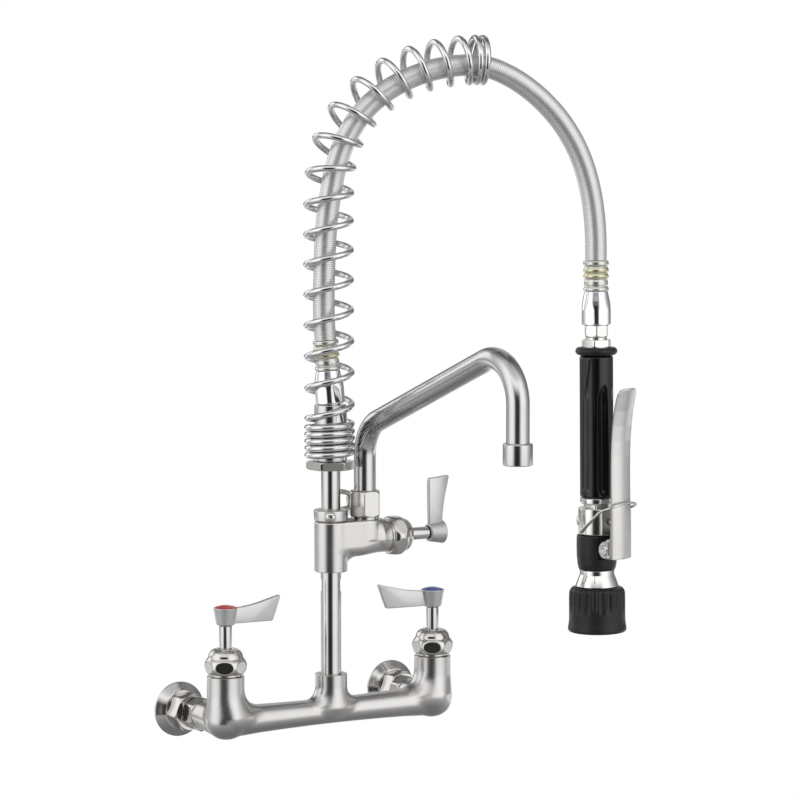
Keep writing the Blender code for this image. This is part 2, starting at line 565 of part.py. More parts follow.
def spout(riser):
    """Swivelling tube spout in a gland nut, with its outlet collar and flow straightener."""
    axis = frame("spout_axis", (SPOUT_OFFSET, 0, 0), heading=-90.0, parent=riser)
    slope = math.radians(SPOUT_SLOPE)
    start = Vector((0.0, SPOUT_BOTTOM))
    bend_up = arc((SPOUT_FIRST_BEND, SPOUT_RISE), SPOUT_FIRST_BEND, 180, 90 + SPOUT_SLOPE, 6)
    run = SPOUT_REACH - SPOUT_SECOND_BEND * (1 + math.sin(slope)) - bend_up[-1][0]
    shoulder = Vector(bend_up[-1]) + Vector((run, run * math.tan(slope)))
    centre = shoulder + Vector((math.sin(slope), -math.cos(slope))) * SPOUT_SECOND_BEND
    bend_down = arc(centre, SPOUT_SECOND_BEND, 90 + SPOUT_SLOPE, 0, 8)
    end = Vector((SPOUT_REACH, OUTLET_BOTTOM + 8.0))
    outline = [start] + bend_up + bend_down + [end]
    path = [(point[0], 0.0, point[1]) for point in outline]
    add_object("spout_tube", pipe(path, SPOUT_RADIUS, SPOUT_BORE, 14), "brushed_steel", axis)
    corner = 14.4
    nut_flats = corner * math.sqrt(3)
    neck_low, nut_low, nut_high = FILLER_TOP - 0.4 + GAP, 164.8, 187.2
    bore = SPOUT_RADIUS + GAP
    nut = [(bore, neck_low), (11.8, neck_low), (11.8, nut_low), (corner - 1.6, nut_low),
           (corner, nut_low + 1.8), (corner, nut_high - 3.0), (corner - 1.2, nut_high - 1.0),
           (corner - 2.6, nut_high), (bore, nut_high)]
    fixed = frame("spout_nut_axis", (SPOUT_OFFSET, 0, 0), parent=riser)
    hex_piece("spout_nut", nut, nut_flats, "brushed_steel", fixed, turn=-121.0)
    outlet_axis = frame("outlet_axis", (SPOUT_REACH, 0, 0), parent=axis)
    inside = OUTLET_RADIUS - 1.5
    collar = [(inside, OUTLET_BOTTOM), (OUTLET_RADIUS, OUTLET_BOTTOM),
              (OUTLET_RADIUS, OUTLET_TOP - 0.8), (OUTLET_RADIUS - 0.8, OUTLET_TOP),
              (SPOUT_RADIUS + GAP, OUTLET_TOP), (SPOUT_RADIUS + GAP, OUTLET_BOTTOM + 7.5),
              (inside, OUTLET_BOTTOM + 7.5)]
    add_object("spout_outlet", lathe(collar, 20), "brushed_steel", outlet_axis)
    straightener_low, straightener_high = OUTLET_BOTTOM + 0.8, OUTLET_BOTTOM + 6.0
    disc = [(0, straightener_low), (inside - GAP, straightener_low),
            (inside - GAP, straightener_high), (0, straightener_high)]
    grid = add_object("flow_straightener", lathe(disc, 16), "brushed_steel", outlet_axis)
    for number in range(6):
        turn = math.tau * number / 6
        hole = cylinder(1.9, straightener_low - 2, straightener_high + 2, 6)
        place = (6.0 * math.cos(turn), 6.0 * math.sin(turn), 0)
        combine(grid, turned_to(hole, (0, 0, 1), place), "DIFFERENCE")


# ---------------------------------------------------------------- overhead spring and hose

# Routes in the plane of the arch: reach from the riser axis, height
COIL_ROUTE = [(-0.9, 180), (-0.9, 262), (-1.4, 340), (-1.5, 420), (-0.6, 448), (2.9, 472.0),
              (12.0, 494.0), (26.8, 513.6), (45.4, 529.0), (65.0, 539.4), (84.9, 545.8),
              (104, 549.4), (118, 550.7), (132, 550.9), (146, 550.0)]
HOSE_ROUTE = [(-4.3, HOSE_START), (-5.4, 332), (-5.6, 350), (-5.2, 372), (-4.4, 394),
              (-2.9, 416), (0.3, 439), (4.8, 461), (12.8, 483.4), (26.4, 505.2),
              (43.6, 521.6), (63.6, 533.6), (84.7, 541.6), (104, 545.6), (120, 546.7), (136, 544.9),
              (151, 539.2), (166, 530.6), (182.5, 517.6), (198, 501.0), (209.6, 483.6),
              (217.7, 466.6), (223.3, 449.6), (227.1, 432.6), (229.4, 415.5),
              (230.5, 398.5), (SPRAY_REACH, HOSE_END)]


def coil_points(points_per_turn=10):
    """The spring's wire: a helix about the arch, close wound at both ends."""
    route = smooth_route([Vector((reach, 0, height)) for reach, height in COIL_ROUTE], 1.0)
    start = COLLAR_TOP + GAP + SPRING_WIRE_RADIUS + 0.2
    along = start - COIL_ROUTE[0][1]
    turns = LOW_CLOSE_TURNS + OPEN_TURNS + HIGH_CLOSE_TURNS
    count = round(turns * points_per_turn)
    first_angle = math.radians(64.0)
    points = []
    for number in range(count + 1):
        turn = number / points_per_turn
        place = min(int(along), len(route) - 2)
        centre = route[place].lerp(route[place + 1], along - place)
        ahead = min(place + round(COIL_LEAN), len(route) - 2)
        tangent = (route[ahead + 1] - route[ahead]).normalized()
        inward = Vector((tangent.z, 0, -tangent.x))
        angle = first_angle + math.tau * turn
        across = Vector((0, 1, 0)) * math.sin(angle)
        points.append(centre + (inward * math.cos(angle) + across) * COIL_RADIUS)
        along += coil_pitch(turn + 0.5 / points_per_turn) / points_per_turn
    return points


def coil_pitch(turn):
    """Advance of the spring per turn, which eases in and out of the close wound ends."""
    opened = turn - LOW_CLOSE_TURNS
    blend = max(0.0, min(1.0, opened / 0.6, (OPEN_TURNS - opened) / 0.6))
    for (turn_before, before), (turn_after, after) in zip(OPEN_PITCHES, OPEN_PITCHES[1:]):
        if turn_before <= opened <= turn_after:
            wide = before + (after - before) * (opened - turn_before) / (turn_after - turn_before)
            return CLOSE_PITCH + (wide - CLOSE_PITCH) * blend
    return CLOSE_PITCH


def ferrule_outline(low, high, bore):
    """Crimped ferrule with swollen rims, from its fitting end to its hose end."""
    span = high - low
    bumps = [(0.0, 11.0), (0.12, 11.0), (0.20, 9.8), (0.40, 9.8), (0.50, 10.5), (0.60, 10.5),
             (0.68, 9.8), (0.75, 9.8), (0.84, 11.0), (0.94, 11.0), (1.0, 10.0)]
    outer = [(radius, low + share * span) for share, radius in bumps]
    return [(bore, low)] + outer + [(bore, high)]


def fitting_outline(wide_end, narrow_end, bore):
    """Tapered hose fitting that is wide and hexagonal at one end, round at the other."""
    span = narrow_end - wide_end
    return [(bore, wide_end), (12.2, wide_end), (12.9, wide_end + 0.03 * span),
            (12.9, wide_end + 0.45 * span), (11.7, wide_end + 0.72 * span),
            (10.0, narrow_end), (bore, narrow_end)]


def overhead(riser):
    """Everything that swings about the riser: spring, hose fittings and hose."""
    axis = frame("overhead_axis", heading=ARCH_HEADING, parent=riser)
    root = frame("hose_root_axis", (0, 0, SLEEVE_TOP), parent=axis, tip=-HOSE_TILT)
    add_object("spring", pipe(coil_points(), SPRING_WIRE_RADIUS, sides=5), "chrome", axis)
    bore = 5.0
    fitting_low, fitting_high = 1.2, 29.0      # above the sleeve's end
    tail = [(bore, -5.0), (8.4, -5.0), (8.4, fitting_low)]
    lower = tail + fitting_outline(fitting_low, fitting_high, bore)[1:]
    hex_piece("lower_hose_fitting", lower, 22.4, "chrome", root, turn=-11.5)
    ferrule_end = (HOSE_START - SLEEVE_TOP) / math.cos(math.radians(HOSE_TILT)) - HOSE_END_GAP
    add_object("lower_ferrule", lathe(ferrule_outline(fitting_high + GAP, ferrule_end, bore), 16),
               "ferrule", root)
    hose(axis)
    return axis


def hose(axis):
    """The braided hose, a smooth curve from ferrule to ferrule."""
    spacing = 21.0
    points = smooth_route([Vector((reach, 0, height)) for reach, height in HOSE_ROUTE], spacing)
    curve = bpy.data.curves.new("hose", "CURVE")
    curve.dimensions = "3D"
    spline = curve.splines.new("POLY")
    spline.points.add(len(points) - 1)
    for slot, point in zip(spline.points, points):
        slot.co = (*(point * MM), 1.0)
    curve.bevel_depth = HOSE_RADIUS * MM
    curve.bevel_resolution = 3
    curve.render_resolution_u = 0
    curve.use_fill_caps = True
    item = bpy.data.objects.new("hose", curve)
    bpy.context.collection.objects.link(item)
    item.parent = axis
    curve.materials.append(new_material("hose", "braided_hose"))


# ---------------------------------------------------------------- trigger spray

def spray_connection(axis):
    """Fittings between the hose and the handle, which stay with the hose."""
    bore = 5.0
    add_object("upper_ferrule", lathe(ferrule_outline(355.2, HOSE_END - HOSE_END_GAP, bore), 16),
               "ferrule", axis)
    outline = fitting_outline(326.0, 354.9, bore)
    hex_piece("upper_hose_fitting", outline, 22.4, "chrome", axis, turn=-11.5)
    nut = [(bore, 315.8), (10.0, 315.8), (10.9, 316.8), (10.9, 325.7), (bore, 325.7)]
    hex_piece("swivel_nut", nut, 19.2, "brushed_steel", axis, turn=-11.5)


def handle_grip(axis):
    """Bushing, rubber ring, grip and end ring around the handle tube."""
    tube_bottom, tube_top = VALVE_BODY_TOP + 3.2 + GAP, 306.8
    tube_bore = 6.5
    tube = [(tube_bore, tube_bottom), (HANDLE_TUBE_RADIUS, tube_bottom),
            (HANDLE_TUBE_RADIUS, tube_top), (tube_bore, tube_top)]
    add_object("handle_tube", lathe(tube, 16), "brushed_steel", axis)
    bushing = [(3.5, 292.0), (6.2, 292.0), (6.2, 307.2), (12.6, 307.2), (13.5, 308.0),
               (13.5, 312.6), (12.8, 313.3), (9.2, 313.3), (9.2, 315.5), (3.5, 315.5)]
    hex_piece("handle_bushing", bushing, 23.4, "brushed_steel", axis, turn=5.0)
    bore = HANDLE_TUBE_RADIUS + GAP
    ring_low, ring_high = GRIP_TOP + GAP, 306.9
    ring = [(bore, ring_low), (16.6, ring_low), (18.0, ring_low + 2.2), (17.6, ring_low + 4.6),
            (15.4, ring_high), (bore, ring_high)]
    add_object("rubber_ring", lathe(ring, 24), "black_rubber", axis)
    grip = [(bore, GRIP_BOTTOM), (13.6, GRIP_BOTTOM), (GRIP_RADIUS, GRIP_BOTTOM + 1.0),
            (GRIP_RADIUS, GRIP_TOP - 1.5), (13.2, GRIP_TOP), (bore, GRIP_TOP)]
    piece = add_object("grip", lathe(grip, 24), "black_grip", axis)
    scallop_low, scallop_high = GRIP_BOTTOM + 8.0, GRIP_BOTTOM + 95.0
    for number in range(3):
        turn = math.radians(180 + 70 * (number - 1))
        scallop = cylinder(9.0, scallop_low, scallop_high, 16)
        reach = GRIP_RADIUS + 9.0 - 1.6
        place = (reach * math.cos(turn), reach * math.sin(turn), 0)
        combine(piece, turned_to(scallop, (0, 0, 1), place), "DIFFERENCE")
    end_low, end_high = VALVE_BODY_TOP + 3.4, GRIP_BOTTOM - GAP
    end_ring = [(bore, end_low), (13.9, end_low), (GRIP_RADIUS, end_low + 0.5),
                (GRIP_RADIUS, end_high), (bore, end_high)]
    add_object("grip_end_ring", lathe(end_ring, 20), "brushed_steel", axis)


def spray_valve_body(axis):
    """Barrel with a lug for the lever, a bore for the plunger and holes for the bail."""
    core = 13.8
    stub = 9.0
    barrel = [(3.5, 104.4), (stub, 104.4), (stub, SLEEVE_COVER_BOTTOM), (core, SLEEVE_COVER_BOTTOM),
              (core, SLEEVE_COVER_TOP + GAP), (VALVE_BODY_RADIUS - 0.5, SLEEVE_COVER_TOP + GAP),
              (VALVE_BODY_RADIUS, SLEEVE_COVER_TOP + 1.0), (VALVE_BODY_RADIUS, VALVE_BODY_TOP - 0.6),
              (VALVE_BODY_RADIUS - 0.6, VALVE_BODY_TOP), (9.5, VALVE_BODY_TOP),
              (9.5, VALVE_BODY_TOP + 3.2), (3.5, VALVE_BODY_TOP + 3.2)]
    body = add_object("spray_valve_body", lathe(barrel, 20), "brushed_steel", axis)
    combine(body, box((10.0, -LUG_HALF_WIDTH, LUG_LOW), (LUG_REACH, LUG_HALF_WIDTH, LUG_HIGH)),
            "UNION")
    pin_hole = cylinder(2.3, -20, 20, 10)
    place = (LEVER_PIVOT_REACH, 0, LEVER_PIVOT_HEIGHT)
    combine(body, turned_to(pin_hole, (0, 1, 0), place), "DIFFERENCE")
    bore = cylinder(2.8, 7.0, 20.0, 10)
    combine(body, turned_to(bore, (1, 0, 0), (0, 0, PLUNGER_HEIGHT)), "DIFFERENCE")
    for side in (-1, 1):
        hole = cylinder(BAIL_WIRE_RADIUS + GAP, BAIL_HALF_WIDTH - 4.2, 20.0, 8)
        place = (BAIL_PIVOT_REACH, 0, BAIL_PIVOT_HEIGHT)
        combine(body, turned_to(hole, (0, side, 0), place), "DIFFERENCE")
    for angle in (-147.0, 112.0, 36.0):
        turn = math.radians(angle)
        dome = [(0, 13.5), (4.4, 13.5), (4.4, 15.9), (3.2, 17.0), (0, 17.6)]
        outward = (math.cos(turn), math.sin(turn), 0)
        combine(body, turned_to(lathe(dome, 10), outward, (0, 0, PLUNGER_HEIGHT)), "UNION")
    return body


def rubber_sleeve(axis):
    """Rubber cover over the barrel, cut away round the lever's lug and ears."""
    bore = 13.8 + GAP
    low = SLEEVE_COVER_BOTTOM
    outline = [(bore, low), (15.6, low), (17.2, low + 7), (17.6, low + 20),
               (17.2, SLEEVE_COVER_TOP - 0.6), (bore, SLEEVE_COVER_TOP)]
    sleeve = add_object("rubber_sleeve", lathe(outline, 24), "black_rubber", axis)
    slot = box((6.0, -LUG_HALF_WIDTH - GAP, LUG_LOW - GAP),
               (30.0, LUG_HALF_WIDTH + GAP, LUG_HIGH + GAP))
    combine(sleeve, slot, "DIFFERENCE")
    ears = LEVER_HALF_WIDTH + GAP
    recess = box((LEVER_PIVOT_REACH - EAR_RADIUS - GAP, -ears, LEVER_PIVOT_HEIGHT - EAR_RADIUS - 1),
                 (30.0, ears, SLEEVE_COVER_TOP + 1))
    return combine(sleeve, recess, "DIFFERENCE")


def spray_head(axis):
    """Steel cone, rubber bumper and the perforated spray face inside it."""
    top, bottom = SLEEVE_COVER_BOTTOM - GAP, 100.5
    cone = [(9.3, top), (14.9, top), (15.1, 110.5), (18.7, bottom), (9.3, bottom)]
    add_object("nozzle_cone", lathe(cone[::-1], 22), "brushed_steel", axis)
    bumper_top = bottom - GAP
    cavity = 20.4
    outline = [(cavity, BUMPER_BOTTOM), (23.6, BUMPER_BOTTOM), (BUMPER_RADIUS, BUMPER_BOTTOM + 2.0),
               (24.2, BUMPER_BOTTOM + 12), (24.0, 95.0), (22.4, 98.4), (19.0, bumper_top),
               (12.0, bumper_top),
               (12.0, 76.3), (cavity, 76.3)]
    add_object("spray_bumper", lathe(outline, 28), "black_rubber", axis)
    face_low, face_high = 68.0, 76.0
    face = [(0, face_low), (cavity - 0.3, face_low), (cavity - 0.3, face_high), (11.7, face_high),
            (11.7, 99.4), (8.9, 99.4), (8.9, 104.0), (3.5, 104.0), (3.5, 74.0), (0, 74.0)]
    disc = add_object("spray_face", lathe(face, 18), "brushed_steel", axis)
    for number in range(6):
        turn = math.tau * number / 6
        hole = cylinder(1.6, 66.0, 71.0, 6)
        place = (14.0 * math.cos(turn), 14.0 * math.sin(turn), 0)
        combine(disc, turned_to(hole, (0, 0, 1), place), "DIFFERENCE")


def squeeze_lever(pivot):
    """Channel shaped lever with two ears, modelled from its pivot."""
    def side(points):
        return [(reach - LEVER_PIVOT_REACH, height - LEVER_PIVOT_HEIGHT) for reach, height in points]

    ear = arc((LEVER_PIVOT_REACH, LEVER_PIVOT_HEIGHT), EAR_RADIUS, 110, 270, 6)
    outside = [(30.6, LEVER_PIVOT_HEIGHT - EAR_RADIUS), (30.6, 168.0), (29.8, 176.0), (29.7, 215.0),
               (31.0, 236.0), (34.0, 254.0), (36.8, 267.0)]
    tip = arc((34.2, 270.2), 3.6, -30, 125, 4)
    inside = [(30.6, 258.0), (27.6, 240.0), (25.6, 222.0), (25.3, 200.0), (25.3, 145.0)]
    outline = ear + outside + tip + inside
    half = LEVER_HALF_WIDTH
    lever = add_object("squeeze_lever", prism(side(outline), -half, half, "XZ"), "cast_lever",
                       pivot)
    spine = [(-5.0, 100.0), (30.6 - LEVER_WALL, 100.0), (30.6 - LEVER_WALL, 168.0),
             (29.8 - LEVER_WALL, 176.0), (29.7 - LEVER_WALL, 215.0),
             (31.0 - LEVER_WALL, 236.0), (34.0 - LEVER_WALL, 254.0), (36.6 - LEVER_WALL, 266.0),
             (36.6 - LEVER_WALL, 268.0), (-5.0, 268.0)]
    channel = half - LEVER_WALL
    combine(lever, prism(side(spine), -channel, channel, "XZ"), "DIFFERENCE")
    combine(lever, turned_to(cylinder(2.3, -20, 20, 12), (0, 1, 0)), "DIFFERENCE")


def lever_hardware(axis):
    """Pivot screw of the lever and the plunger that the lever pushes."""
    head = LEVER_HALF_WIDTH + GAP
    pin = [(0, -head - 1.3), (3.4, -head - 1.3), (4.4, -head - 0.5), (4.4, -head), (2.0, -head),
           (2.0, head), (4.4, head), (4.4, head + 0.5), (3.4, head + 1.3), (0, head + 1.3)]
    place = (LEVER_PIVOT_REACH, 0, LEVER_PIVOT_HEIGHT)
    add_object("lever_pivot_screw", turned_to(lathe(pin, 12), (0, 1, 0), place),
               "brushed_steel", axis)
    plunger_axis = frame("plunger_axis", (0, 0, PLUNGER_HEIGHT), parent=axis)
    end = 30.6 - LEVER_WALL - 0.4
    plunger = [(0, 11.0), (2.5, 11.0), (2.5, end - 1.2), (1.4, end), (0, end)]
    add_object("valve_plunger", turned_to(lathe(plunger, 12), (1, 0, 0)), "brass", plunger_axis)


def hold_bail(pivot):
    """Arched wire hoop hinged on the barrel that hooks over the lever to hold it squeezed."""
    side, inside = BAIL_HALF_WIDTH, BAIL_HALF_WIDTH - 3.0
    leg = [(0, inside, 0), (0, side, 0), (15, side, 13.3), (25, side, 21.6), (32, side, 25.3),
           (35.6, side - 1.6, 26.1), (37.6, side - 5.0, 25.5), (38.0, side - 9.4, 24.9)]
    other = [(reach, -across, height) for reach, across, height in leg[::-1]]
    add_object("hold_bail", pipe(leg + other, BAIL_WIRE_RADIUS, sides=8), "brushed_steel", pivot)


def spray(overhead_axis):
    lean = math.radians(SPRAY_LEAN)
    foot = (SPRAY_REACH + HOSE_END * math.sin(lean), 0, HOSE_END * (1 - math.cos(lean)))
    hanging = frame("spray_connection_axis", foot, parent=overhead_axis, tip=-SPRAY_LEAN)
    spray_connection(hanging)
    axis = frame("spray_axis", heading=SPRAY_HEADING - ARCH_HEADING, parent=hanging)
    handle_grip(axis)
    spray_valve_body(axis)
    rubber_sleeve(axis)
    spray_head(axis)
    lever_hardware(axis)
    squeeze_lever(frame("lever_axis", (LEVER_PIVOT_REACH, 0, LEVER_PIVOT_HEIGHT), parent=axis))
    hold_bail(frame("bail_axis", (BAIL_PIVOT_REACH, 0, BAIL_PIVOT_HEIGHT), parent=axis))


def main():
    clear_scene()
    wall = frame("wall_plane")
    riser = frame("riser_axis", (0, -INLET_TO_RISER, 0), parent=wall)
    mixer_body(riser)
    for side_name, side in (("hot", -1), ("cold", 1)):
        inlet(side_name, side, wall)
    hot = frame("hot_axis", (-VALVE_HALF_SPACING, 0, COLUMN_TOP), parent=riser)
    valve("hot", hot, 0.0, "hot_index")
    cold = frame("cold_axis", (VALVE_HALF_SPACING, 0, COLUMN_TOP), parent=riser)
    valve("cold", cold, COLD_HANDLE_HEADING, "cold_index")
    filler = frame("filler_axis", (FILLER_ARM_END, 0, FILLER_AXIS_HEIGHT), parent=riser, tip=90.0)
    valve("filler", filler, 180.0)
    lower_riser(riser)
    filler_body(riser)
    hook_bracket(riser)
    upper_riser(riser)
    spout(riser)
    spray(overhead(riser))


main()
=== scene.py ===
"""Looks for the wall mounted pre rinse faucet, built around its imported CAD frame.

Shapes are drawn in millimetres in the CAD's own axes and stored in metres.
"""
import json
import math

import bmesh
import bpy
import numpy as np
from mathutils import Euler, Matrix, Vector
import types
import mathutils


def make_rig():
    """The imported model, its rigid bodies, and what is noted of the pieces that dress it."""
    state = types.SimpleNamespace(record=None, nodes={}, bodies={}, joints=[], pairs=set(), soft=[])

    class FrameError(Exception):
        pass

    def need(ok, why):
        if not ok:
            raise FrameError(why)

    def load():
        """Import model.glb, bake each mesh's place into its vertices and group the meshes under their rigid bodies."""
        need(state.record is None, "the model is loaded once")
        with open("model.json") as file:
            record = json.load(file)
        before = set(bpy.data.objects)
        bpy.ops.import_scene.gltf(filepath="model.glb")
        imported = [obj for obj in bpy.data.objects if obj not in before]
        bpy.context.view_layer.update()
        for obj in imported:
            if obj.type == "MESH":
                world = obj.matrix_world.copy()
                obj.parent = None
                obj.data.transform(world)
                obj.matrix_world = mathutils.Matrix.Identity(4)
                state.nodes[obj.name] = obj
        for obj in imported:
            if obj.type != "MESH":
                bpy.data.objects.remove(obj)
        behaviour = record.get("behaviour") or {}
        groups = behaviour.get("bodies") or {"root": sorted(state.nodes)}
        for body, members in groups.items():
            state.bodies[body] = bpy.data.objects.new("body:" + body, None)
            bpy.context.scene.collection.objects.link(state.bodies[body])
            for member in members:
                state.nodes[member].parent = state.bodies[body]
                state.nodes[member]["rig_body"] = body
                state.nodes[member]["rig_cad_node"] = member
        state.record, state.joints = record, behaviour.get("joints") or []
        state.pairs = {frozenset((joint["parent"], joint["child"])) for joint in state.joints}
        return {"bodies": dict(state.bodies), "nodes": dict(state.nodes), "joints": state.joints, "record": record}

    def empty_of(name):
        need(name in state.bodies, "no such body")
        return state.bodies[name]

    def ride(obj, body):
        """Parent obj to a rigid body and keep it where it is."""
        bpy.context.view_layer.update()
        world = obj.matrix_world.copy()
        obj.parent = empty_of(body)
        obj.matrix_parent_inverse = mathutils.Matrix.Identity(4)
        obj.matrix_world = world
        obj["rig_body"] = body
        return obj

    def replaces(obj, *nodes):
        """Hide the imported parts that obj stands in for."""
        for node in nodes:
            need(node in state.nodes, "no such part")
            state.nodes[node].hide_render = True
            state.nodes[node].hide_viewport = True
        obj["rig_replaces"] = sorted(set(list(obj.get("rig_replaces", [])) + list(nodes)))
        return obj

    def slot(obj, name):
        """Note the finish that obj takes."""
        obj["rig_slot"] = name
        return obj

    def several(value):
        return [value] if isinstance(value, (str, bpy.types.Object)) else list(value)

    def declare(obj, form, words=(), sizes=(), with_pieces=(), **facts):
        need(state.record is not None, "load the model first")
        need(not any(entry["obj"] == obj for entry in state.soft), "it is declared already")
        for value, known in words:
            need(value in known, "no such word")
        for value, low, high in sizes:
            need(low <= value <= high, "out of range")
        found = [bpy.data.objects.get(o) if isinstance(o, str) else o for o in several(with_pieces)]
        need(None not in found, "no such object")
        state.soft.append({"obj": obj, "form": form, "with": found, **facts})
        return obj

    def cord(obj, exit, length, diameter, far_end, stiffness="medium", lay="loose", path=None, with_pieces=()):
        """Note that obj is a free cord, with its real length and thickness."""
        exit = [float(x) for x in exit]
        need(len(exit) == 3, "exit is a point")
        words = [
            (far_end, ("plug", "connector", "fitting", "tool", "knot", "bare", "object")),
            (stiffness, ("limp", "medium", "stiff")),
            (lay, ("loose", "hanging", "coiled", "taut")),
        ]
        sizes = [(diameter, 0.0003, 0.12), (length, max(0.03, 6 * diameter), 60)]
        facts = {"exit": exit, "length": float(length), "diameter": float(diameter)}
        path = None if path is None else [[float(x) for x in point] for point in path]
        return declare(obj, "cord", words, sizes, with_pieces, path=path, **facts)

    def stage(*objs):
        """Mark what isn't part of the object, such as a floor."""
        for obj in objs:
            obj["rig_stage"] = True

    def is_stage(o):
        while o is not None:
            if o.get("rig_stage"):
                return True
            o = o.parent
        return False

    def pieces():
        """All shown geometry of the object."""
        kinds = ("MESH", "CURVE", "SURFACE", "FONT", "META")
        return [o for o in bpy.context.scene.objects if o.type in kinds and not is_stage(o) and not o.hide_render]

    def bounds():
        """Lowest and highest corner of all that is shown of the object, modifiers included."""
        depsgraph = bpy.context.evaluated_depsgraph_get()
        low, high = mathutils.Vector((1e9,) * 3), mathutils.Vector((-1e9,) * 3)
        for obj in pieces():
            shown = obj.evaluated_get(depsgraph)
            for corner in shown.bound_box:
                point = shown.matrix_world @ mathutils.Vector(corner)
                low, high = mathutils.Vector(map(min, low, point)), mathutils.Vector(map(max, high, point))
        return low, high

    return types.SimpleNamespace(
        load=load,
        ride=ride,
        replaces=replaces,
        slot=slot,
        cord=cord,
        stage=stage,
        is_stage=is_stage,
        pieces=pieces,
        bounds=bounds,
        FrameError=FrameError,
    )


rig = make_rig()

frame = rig.load()
cad_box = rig.bounds()

MM = 0.001
GAP = 0.3

# The CAD's main places, in millimetres
WALL_TO_RISER = 77.8
VALVE_SPACING = 101.6
FLANGE_OFFSET = 3.8
COLUMN_TOP = 39.4
FILLER_HEIGHT = 146.4
FILLER_BOTTOM, FILLER_TOP = 119.9, 162.5
ARM_END = 53.8
SPOUT_OFFSET = 33.6
SPOUT_REACH = 234.3
HUB_LOW = 42.9                 # the handle hub's foot, above its valve column
SLEEVE_TOP = 261.7
HOSE_START, HOSE_END = 316.5, 381.4
SPRAY_REACH, SPRAY_LEAN, SPRAY_HEADING = 230.7, 0.5, -77.0
ARCH_HEADING = -20.0
PIVOT_REACH, PIVOT_HEIGHT = 20.1, 134.3
BAIL_REACH, BAIL_HEIGHT = -4.0, 148.2

CAMERA_PLACE = (-1.3574, -2.3991, 0.4964)
CAMERA_HEADING, CAMERA_PITCH = 31.5643, 4.912      # degrees from +Y, degrees down
DARK_TO_LEFT = 7.0             # the studio's dark opening, degrees left of the camera
SIDE_PANEL = (-0.507, -0.811, 0.292)   # towards a high panel on the left, from that opening


def shown(name, data):
    item = bpy.data.objects.new(name, data)
    bpy.context.scene.collection.objects.link(item)
    return item


def camera():
    data = bpy.data.cameras.new("camera")
    data.lens, data.sensor_width = 144.0, 36.0
    data.clip_start, data.clip_end = 0.05, 50.0
    item = shown("camera", data)
    turn, tip = math.radians(CAMERA_HEADING), math.radians(CAMERA_PITCH)
    ahead = Vector((math.sin(turn) * math.cos(tip), math.cos(turn) * math.cos(tip),
                    -math.sin(tip)))
    item.location = CAMERA_PLACE
    item.rotation_euler = ahead.to_track_quat("-Z", "Y").to_euler()
    bpy.context.scene.camera = item


# ---- places

def at(x=0.0, y=0.0, z=0.0, heading=0.0, tip=0.0, parent=None):
    """The CAD's own way to place a group: move, turn about Z, then tip +Z towards +X."""
    local = (Matrix.Translation(Vector((x, y, z)) * MM)
             @ Euler((0, math.radians(tip), math.radians(heading))).to_matrix().to_4x4())
    return (parent or Matrix.Identity(4)) @ local


def pointing(degrees):
    """The level direction at a heading from +X."""
    turn = math.radians(degrees)
    return Vector((math.cos(turn), math.sin(turn), 0))


def aimed(direction, place=(0, 0, 0), parent=None):
    """A place whose +Z points along a direction."""
    spin = Vector((0, 0, 1)).rotation_difference(Vector(direction)).to_matrix().to_4x4()
    return (parent or Matrix.Identity(4)) @ Matrix.Translation(Vector(place) * MM) @ spin


RISER = at(y=-WALL_TO_RISER)
OVERHEAD = at(heading=ARCH_HEADING, parent=RISER)
HOSE_ROOT = at(z=SLEEVE_TOP, tip=-4.5, parent=OVERHEAD)
LEAN = math.radians(SPRAY_LEAN)
HANGING = at(x=SPRAY_REACH + HOSE_END * math.sin(LEAN), z=HOSE_END * (1 - math.cos(LEAN)),
             tip=-SPRAY_LEAN, parent=OVERHEAD)
SPRAY = at(heading=SPRAY_HEADING - ARCH_HEADING, parent=HANGING)
SPOUT = at(x=SPOUT_OFFSET, heading=-90.0, parent=RISER)
OUTLET = at(x=SPOUT_REACH, parent=SPOUT)
NUT_BASE = at(x=SPOUT_OFFSET, parent=RISER)


# ---- materials

def node(tree, kind, inputs=(), **settings):
    """A shader node of a kind, with its settings and with inputs set or linked."""
    made = tree.nodes.new("ShaderNode" + kind)
    for key, value in settings.items():
        setattr(made, key, value)
    for key, value in dict(inputs).items():
        if isinstance(value, bpy.types.NodeSocket):
            tree.links.new(value, made.inputs[key])
        else:
            made.inputs[key].default_value = value
    return made


def ranged(tree, value, low, high, to_low=0.0, to_high=1.0):
    """A value moved from one range to another and held at its ends."""
    return node(tree, "MapRange", {"Value": value, "From Min": low, "From Max": high,
                                             "To Min": to_low, "To Max": to_high}).outputs[0]


def maths(tree, operation, *values):
    return node(tree, "Math", enumerate(values), operation=operation).outputs[0]


def mixed_colour(tree, share, first, second, **settings):
    return node(tree, "Mix", {0: share, 6: first, 7: second}, data_type="RGBA",
                **settings).outputs[2]


def shaded(colour, factor):
    return tuple(min(1.0, part * factor) for part in colour) + (1.0,)


def bumped(tree, height, strength, distance):
    relief = node(tree, "Bump", {"Height": height, "Strength": strength,
                                           "Distance": distance * MM}).outputs[0]
    tree.links.new(relief, tree.nodes["Principled BSDF"].inputs["Normal"])


def coloured(tree, colour):
    tree.links.new(colour, tree.nodes["Principled BSDF"].inputs["Base Color"])


